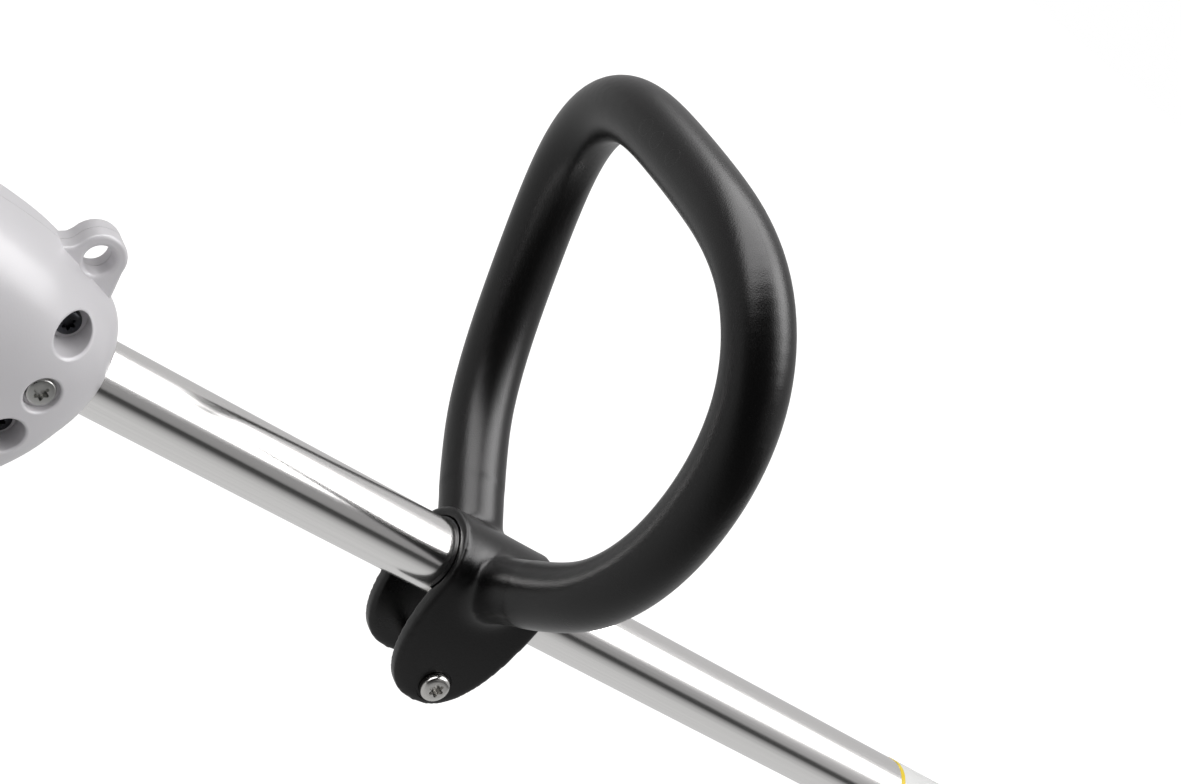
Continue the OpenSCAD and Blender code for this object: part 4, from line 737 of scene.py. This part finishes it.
def along_x(start, end, radius, around):
    """A round bar along the tube's axis, as a bmesh."""
    return made(lambda bm: cylinder_along(bm, on_tube(start, 0, 0), on_tube(end, 0, 0), radius, around))


def plate_on_edge(corners, half_thick):
    """A closed plate that stands on the head's parts, from its corners and half of its thickness."""
    bm, _ = drawn_out([at_head(*(c - half_thick)) for c in corners], to_head @ (half_thick * 2 * mm))
    return closed(bm)


def head_turned(profile, around):
    """A closed form turned about the head's axis."""
    return closed(made(lambda bm: turned(bm, profile, at_head(0, 0, 0), head_axis, around)))


bosses = arc(0, 0, barrel_r - 1, (0, 120, 240))
flange_holes = (-60, 60, 180)
body = [along_x(socket_rear, apex_x - 6, socket_out * mm, 96),
        made(lambda bm: block(bm, on_tube(socket_rear + 4, -7, -socket_out - 9), on_tube(socket_rear + 22, 7, -14))),
        made(lambda bm: disc(bm, barrel_low, cover_low - 0.05, barrel_r)),
        made(lambda bm: disc(bm, barrel_low, barrel_low + 4, 30))]
for x, y in bosses:
    body.append(made(lambda bm: disc(bm, cover_low - 12, cover_low - 0.05, 4.5, x, y, 32)))
for angle in flange_holes:
    x, y = math.cos(math.radians(angle)), math.sin(math.radians(angle))
    body.append(plate_on_edge([Vector((x * r, y * r, barrel_low + z)) for r, z in (
        (17, 3), (28, 3), (28, 4.6), (19.5, 14), (17, 14))], Vector((-y, x, 0)) * 1.4))
cuts = [along_x(socket_rear - 2, socket_rear + socket_len, tube_r + 0.05 * mm, 96),
        along_x(socket_rear + socket_len - 1, apex_x - 4, 11 * mm, 64),
        made(lambda bm: disc(bm, -12, cover_low + 10, 15.5)), made(lambda bm: disc(bm, -20, -11, 13)),
        made(lambda bm: disc(bm, barrel_low - 3, -19, 10.5))]
slit = made(lambda bm: block(bm, on_tube(socket_rear - 2, -1, -40), on_tube(socket_rear + 26, 1, -5)))
pinch = made(lambda bm: cylinder_along(bm, on_tube(socket_rear + 13, -30, -socket_out - 3.6),
                                       on_tube(socket_rear + 13, 30, -socket_out - 3.6), 2.5 * mm, 32))
taps = bmesh.new()
for x, y in bosses:
    disc(taps, cover_low - 10, cover_low + 5, 1.6, x, y, 24)
for x, y in arc(0, 0, 25, flange_holes):
    disc(taps, barrel_low - 2, barrel_low + 7, 2.1, x, y, 24)
put(cut(softened(as_one(body), 0.8 * mm, 5), *cuts, slit, pinch, taps), "gear_housing_cast", "frame",
    black_plastic, ("gear_housing",), sharp=40)

cap = [head_turned([(0, cover_low + 0.05), (barrel_r, cover_low + 0.05)]
                   + arc(barrel_r - 3.5, cover_rim - 3.5, 3.5, range(0, 91, 10))
                   + [(9, cover_rim), (8, cover_rim - 0.8), (0, cover_rim - 0.8)], 96)]
for x, y in bosses:
    cap.append(made(lambda bm: disc(bm, cover_low + 0.05, cover_low + 4.9, 4.5, x, y, 32)))
pocket_cut = made(lambda bm: disc(bm, cover_low - 3, cover_low + 7, 11))
through, seats = bmesh.new(), bmesh.new()
for x, y in bosses:
    disc(through, cover_low - 3, cover_low + 25, 1.8, x, y, 24)
    disc(seats, cover_low + 3.4, cover_low + 25, 3.5, x, y, 32)
put(cut(softened(as_one(cap), 0.7 * mm, 4), pocket_cut, through, seats), "gear_cover_cast", "frame",
    black_plastic, ("gear_cover",), sharp=40)

# Deflector. A black moulded guard behind the cutting head: a flat web with a deep curved skirt,
# rounded outer edges and two stiffening ribs, screwed to the flange.
guard_r, guard_chord, guard_half, guard_t, guard_top, skirt_low = 125, 118, 72, 3, -23, -62


def guard_line(radius, chord, half):
    """The guard's edge in plan: an arc behind the head cut by a flat rear edge and two straight sides."""
    flat = math.degrees(math.acos(chord / radius))
    edge = arc(0, 0, radius, [180 - half + (half - flat) * i / 20 for i in range(21)])
    return [(0, 0)] + edge + [(x, -y) for x, y in reversed(edge)]


def slab(outline, low, high):
    """A flat plate along the head's axis with the given edge."""
    rise = to_head @ Vector((0, 0, (high - low) * mm))
    return closed(drawn_out([at_head(x, y, low) for x, y in outline], rise)[0])


def edges_above(bm, height):
    """The edges that lie wholly above a height on the head's axis."""
    from_head = head_place.inverted()
    return [e for e in bm.edges if all((from_head @ v.co).z / mm > height for v in e.verts)]


web = slab(guard_line(guard_r, guard_chord, guard_half), skirt_low, guard_top)
rounded(web, edges_above(web, guard_top - 0.01), 2.6, 5)
closed(web)
inner = slab(guard_line(guard_r - guard_t, guard_chord - guard_t, guard_half + 14), skirt_low - 4,
             guard_top - guard_t)
plate = made(lambda bm: disc(bm, guard_top - guard_t, guard_top, 30, around=96))
holes = made(lambda bm: disc(bm, guard_top - 6, guard_top + 2, 10.5))
for x, y in arc(0, 0, 25, flange_holes):
    disc(holes, guard_top - 10, guard_top + 4, 2.2, x, y, 24)
blade_turn = math.radians(180 - (guard_half - 12))
for y in (-7, 7):
    out = Vector((math.cos(blade_turn), math.sin(blade_turn), 0))
    across = Vector((-out.y, out.x, 0))
    middle = out * (guard_r - guard_t) + across * y + Vector((0, 0, skirt_low + 12))
    cylinder_along(holes, at_head(*(middle - out * 12)), at_head(*(middle + out * 12)), 2.1 * mm, 24)
guard = [("DIFFERENCE", inner), ("UNION", plate)]
for angle in (-35, 35):
    along = Vector((-math.cos(math.radians(angle)), -math.sin(math.radians(angle)), 0))
    rib = plate_on_edge([along * r + Vector((0, 0, guard_top + z)) for r, z in (
        (31, -1), (109, -1), (108.5, 2), (104, 4.6), (36, 4.9), (32, 3.4))], Vector((-along.y, along.x, 0)) * 1.5)
    rounded(rib, edges_above(rib, guard_top + 1), 0.8, 3)
    guard.append(("UNION", closed(rib)))
put(joined(web, guard + [("DIFFERENCE", holes)]), "deflector_moulded", "frame", black_plastic,
    ("deflector",), sharp=35)

# Cutting head. A black cup with finger notches and fine grip flutes round its side, a cover ring
# below it, and a bump knob with thumb scallops; each is turned with rounded edges.
cup_r, cup_top, cup_low, cover_t, knob_r, knob_low = 46, -33.5, -67.5, 5, 24, -92.5
cup_wall, cup_roof, post_r, eyelet_z, spool_top, spool_low = 3, 4, 6, -55.75, -45.5, -66


def corner(r, z, size, first, last):
    """A rounded corner of a lathe profile round the point r, z."""
    return arc(r, z, size, [first + (last - first) * i / 6 for i in range(7)])


inside_r, roof_z, cup_end = cup_r - cup_wall, cup_top - cup_roof, cup_low - cover_t
cup = head_turned(
    [(5.05, cup_top)] + corner(cup_r - 3.2, cup_top - 3.2, 3.2, 90, 0)
    + [(cup_r, cup_top - 8), (cup_r - 0.7, cup_top - 8.6), (cup_r - 0.7, cup_top - 9.6), (cup_r, cup_top - 10.2)]
    + corner(cup_r - 0.6, cup_low + 0.65, 0.6, 0, -90)
    + [(inside_r, cup_low + 0.05), (inside_r, roof_z - 2), (inside_r - 2, roof_z), (post_r, roof_z),
       (post_r, cup_end), (5.05, cup_end), (5.05, cup_top)], 144)
cup_cuts = bmesh.new()
for m in (-1, 1):
    cylinder_along(cup_cuts, at_head(0, m * (cup_r - 6), eyelet_z), at_head(0, m * (cup_r + 4), eyelet_z), 4 * mm, 48)
flutes = bmesh.new()
for k in range(48):
    a = math.radians(k * 7.5 + 3.75)
    if abs(math.cos(a)) < math.cos(math.radians(81)):
        continue
    x, y = (cup_r + 0.9) * math.cos(a), (cup_r + 0.9) * math.sin(a)
    disc(flutes, cup_low + 4, cup_top - 12.5, 1.7, x, y, 20)
notches = bmesh.new()
for k in range(8):
    a = math.radians(k * 45 + 22.5)
    out, across = Vector((math.cos(a), math.sin(a), 0)), Vector((-math.sin(a), math.cos(a), 0))
    cylinder_along(notches, at_head(*(out * (cup_r - 11) + Vector((0, 0, cup_top + 2.2)))),
                   at_head(*(out * (cup_r + 6) + Vector((0, 0, cup_top + 1.4)))), 4.4 * mm, 32)
put(cut(cup, cup_cuts, flutes, notches), "head_cup_moulded", "head", black_plastic, ("head_cup",),
    sharp=35)

ring = head_turned(
    [(knob_r + 0.5, cup_low - 0.05), (cup_r - 0.5, cup_low - 0.05)] + corner(cup_r - 1.0, cup_low - 1.05, 1.0, 60, 0)
    + corner(cup_r - 3, cup_end + 3, 3, 0, -90) + [(knob_r + 4, cup_end)]
    + corner(knob_r + 1.5, cup_end + 1, 1, -90, -180) + [(knob_r + 0.5, cup_low - 0.05)], 144)
dimples = bmesh.new()
for x, y in arc(0, 0, cup_r - 9, range(15, 360, 30)):
    disc(dimples, cup_end - 3, cup_end + 0.9, 4.2, x, y, 32)
put(cut(ring, dimples), "head_cover_ring", "head", black_plastic, ("head_cover",), sharp=35)

sleeve_in = post_r + 0.05
sleeve_out = sleeve_in + 2
knob = head_turned(
    [(sleeve_in, spool_top), (sleeve_out, spool_top), (sleeve_out, spool_low - 0.3)]
    + corner(knob_r - 1, spool_low - 1.3, 1, 90, 0) + corner(knob_r - 6, knob_low + 6.6, 6, 0, -60)
    + corner(knob_r - 9.6, knob_low + 3, 3, -50, -90) + [(sleeve_in, knob_low), (sleeve_in, spool_top)], 128)
scallops = bmesh.new()
for x, y in arc(0, 0, knob_r + 0.6, range(0, 360, 45)):
    turned(scallops, [(0, -2), (3.4, -2)] + corner(0, 12.5, 3.4, 0, 80) + [(0, 15.9)], at_head(x, y, knob_low),
           head_axis, 32)
put(cut(knob, closed(scallops)), "bump_knob_moulded", "knob", black_plastic, ("bump_knob",), sharp=35)

# Line ends. Two stiff lengths of round orange nylon line that come out of the eyelets, cut off square.
line_r, line_start, line_reach = 1.2, 41.1, 110
strands = bmesh.new()
for m in (-1, 1):
    turned(strands, [(0, line_start), (line_r, line_start), (line_r, line_reach - 0.25), (line_r - 0.25, line_reach),
                     (0, line_reach)], at_head(0, 0, eyelet_z), to_head @ Vector((0, m, 0)), 24)
put(closed(strands), "line_lengths", "head", line_nylon, ("line_ends",), sharp=50)

# Latch and skids. A black button with rounded edges in the pack's rear end, and two soft rubber
# skids with bevelled edges pressed into the dock's floor.
latch_low = bay_roof - 8
latch_outline = [(latch_x + 7, latch_low + 4), (latch_x + 7, latch_low), (pack_rear + 3, latch_low),
                 (pack_rear + 0.8, latch_low + 2.4), (pack_rear + 0.05, latch_low + 5),
                 (pack_rear + 0.6, latch_low + 8), (pack_rear + 2, latch_low + 11),
                 (latch_x - 4, latch_low + 11.4), (latch_x + 2, latch_low + 10), (latch_x + 3, latch_low + 4)]
put(plate_piece(latch_outline, 0, 0, 11, 0.9), "latch_button", "latch", black_plastic,
    ("battery_latch",), sharp=40)
skids = bmesh.new()
for m in (-1, 1):
    pad = bmesh.new()
    block(pad, Vector((skid_low[0], m * 17 * mm, skid_low[2])),
          Vector((skid_high[0], m * skid_high[1], skid_high[2])))
    rounded(pad, pad.edges[:], 1.0, 3)
    gathered(skids, closed(pad))
put(skids, "skids", "frame", rubber, ("base_skids",), sharp=50)

# Setting. A pale floor, a white surrounding with a soft box above, and one broad soft sun.
# The camera looks down along the tube from the hand side, a little above it and rolled.
scene = bpy.context.scene
scene.view_settings.view_transform = "Standard"
floor_bm = bmesh.new()
bmesh.ops.create_grid(floor_bm, x_segments=2, y_segments=2, size=30)
floor = as_object(floor_bm, "floor")
floor_material = bpy.data.materials.new("pale_floor")
floor_material.use_nodes = True
tree = floor_material.node_tree
link = tree.links.new
shader = tree.nodes["Principled BSDF"]
for socket, value in (("Base Color", (0.5, 0.5, 0.5, 1)), ("Roughness", 1), ("Specular IOR Level", 0),
                      ("Emission Color", (1, 0.99, 0.985, 1))):
    shader.inputs[socket].default_value = value


def soft_step(value, low, high, from_value, to_value, **settings):
    """A value carried from one range to another."""
    return shade_node(tree, "MapRange", {"Value": value, "From Min": low, "From Max": high, "To Min": from_value,
                                         "To Max": to_value}, **settings).outputs["Result"]


rays = shade_node(tree, "LightPath")
apart = shade_node(tree, "SeparateXYZ", {"Vector": shade_node(tree, "TexCoord").outputs["Object"]})
# In reflections the floor is swapped for a glow that is darker towards the camera: a painted reflection that lays a
# dark band along the tube.
painted_floor_reflection = soft_step(apart.outputs["Y"], -0.5, -0.05, 0.05, 0.64, interpolation_type="SMOOTHSTEP")
link(worked(tree, "MULTIPLY", rays.outputs["Is Camera Ray"], 0.72), shader.inputs["Emission Strength"])
mirrored = shade_node(tree, "Emission", {"Strength": painted_floor_reflection})
pick = shade_node(tree, "MixShader", {"Fac": rays.outputs["Is Glossy Ray"], 1: shader.outputs["BSDF"],
                                      2: mirrored.outputs["Emission"]})
link(pick.outputs["Shader"], tree.nodes["Material Output"].inputs["Surface"])
floor.data.materials.append(floor_material)

world = bpy.data.worlds.new("studio")
scene.world = world
world.use_nodes = True
tree = world.node_tree
rays = shade_node(tree, "LightPath")
apart = shade_node(tree, "SeparateXYZ", {"Vector": shade_node(tree, "TexCoord").outputs["Generated"]})
ahead_x = worked(tree, "MAXIMUM", apart.outputs["X"], worked(tree, "MULTIPLY", apart.outputs["X"], -0.2))
whole = shade_node(tree, "CombineXYZ", {"X": ahead_x, "Y": apart.outputs["Y"], "Z": apart.outputs["Z"]})


def side_of(plane, low, high, from_value, to_value):
    """A soft step across a plane through the object, as seen in the surroundings."""
    dot = shade_node(tree, "VectorMath", {0: whole.outputs["Vector"], 1: plane}, operation="DOT_PRODUCT")
    return soft_step(dot.outputs["Value"], low, high, from_value, to_value, interpolation_type="SMOOTHSTEP")


box_or_grey = side_of((-0.545, -0.289, 0.466), 0.0, 0.15, 0.56, 6.0)
lit_side = side_of((0.454, 0.4845, 0.110), -0.06, 0.08, 0.0, 1.0)
dark_side = worked(tree, "SUBTRACT", 1.0, lit_side)
dark_level = soft_step(apart.outputs["X"], 0.1, 0.4, 0.03, 0.3)
around = worked(tree, "ADD", worked(tree, "MULTIPLY", box_or_grey, lit_side),
                worked(tree, "MULTIPLY", dark_level, dark_side))
plain = shade_node(tree, "Background", {"Strength": soft_step(apart.outputs["Z"], 0.0, 1.0, 0.15, 0.95)})
shown = shade_node(tree, "Background", {"Color": (1, 1, 1, 1)})
mirrored = shade_node(tree, "Background", {"Color": (1, 0.99, 0.995, 1), "Strength": around})
gloss_mix = shade_node(tree, "MixShader", {"Fac": rays.outputs["Is Glossy Ray"], 1: plain.outputs["Background"],
                                           2: mirrored.outputs["Background"]})
view_mix = shade_node(tree, "MixShader", {"Fac": rays.outputs["Is Camera Ray"], 1: gloss_mix.outputs["Shader"],
                                          2: shown.outputs["Background"]})
output = next(n for n in tree.nodes if n.type == "OUTPUT_WORLD")
tree.links.new(view_mix.outputs["Shader"], output.inputs["Surface"])

sun = bpy.data.lights.new("soft_sun", "SUN")
sun.energy = 1.45
sun.angle = math.radians(56)
sun_object = bpy.data.objects.new("soft_sun", sun)
scene.collection.objects.link(sun_object)
sun_way = Vector((-0.42, 0.38, -0.82))
sun_object.rotation_euler = sun_way.to_track_quat("-Z", "Y").to_euler()

camera = bpy.data.cameras.new("camera")
camera.sensor_width = 36
camera.lens = 36 * 2716.1 / 1181
camera.clip_start = 0.01
camera.clip_end = 200
camera_object = bpy.data.objects.new("camera", camera)
scene.collection.objects.link(camera_object)
right = Vector((0.68299, -0.35248, 0.63975))
down = Vector((0.41366, -0.53521, -0.73651))
ahead = Vector((0.60200, 0.76766, -0.21974))
camera_object.matrix_world = Matrix.Translation(on_tube(-541.5 + handle_x, -699.2, 278.04)) @ Matrix(
    (right, -down, -ahead)).transposed().to_4x4()
scene.camera = camera_object
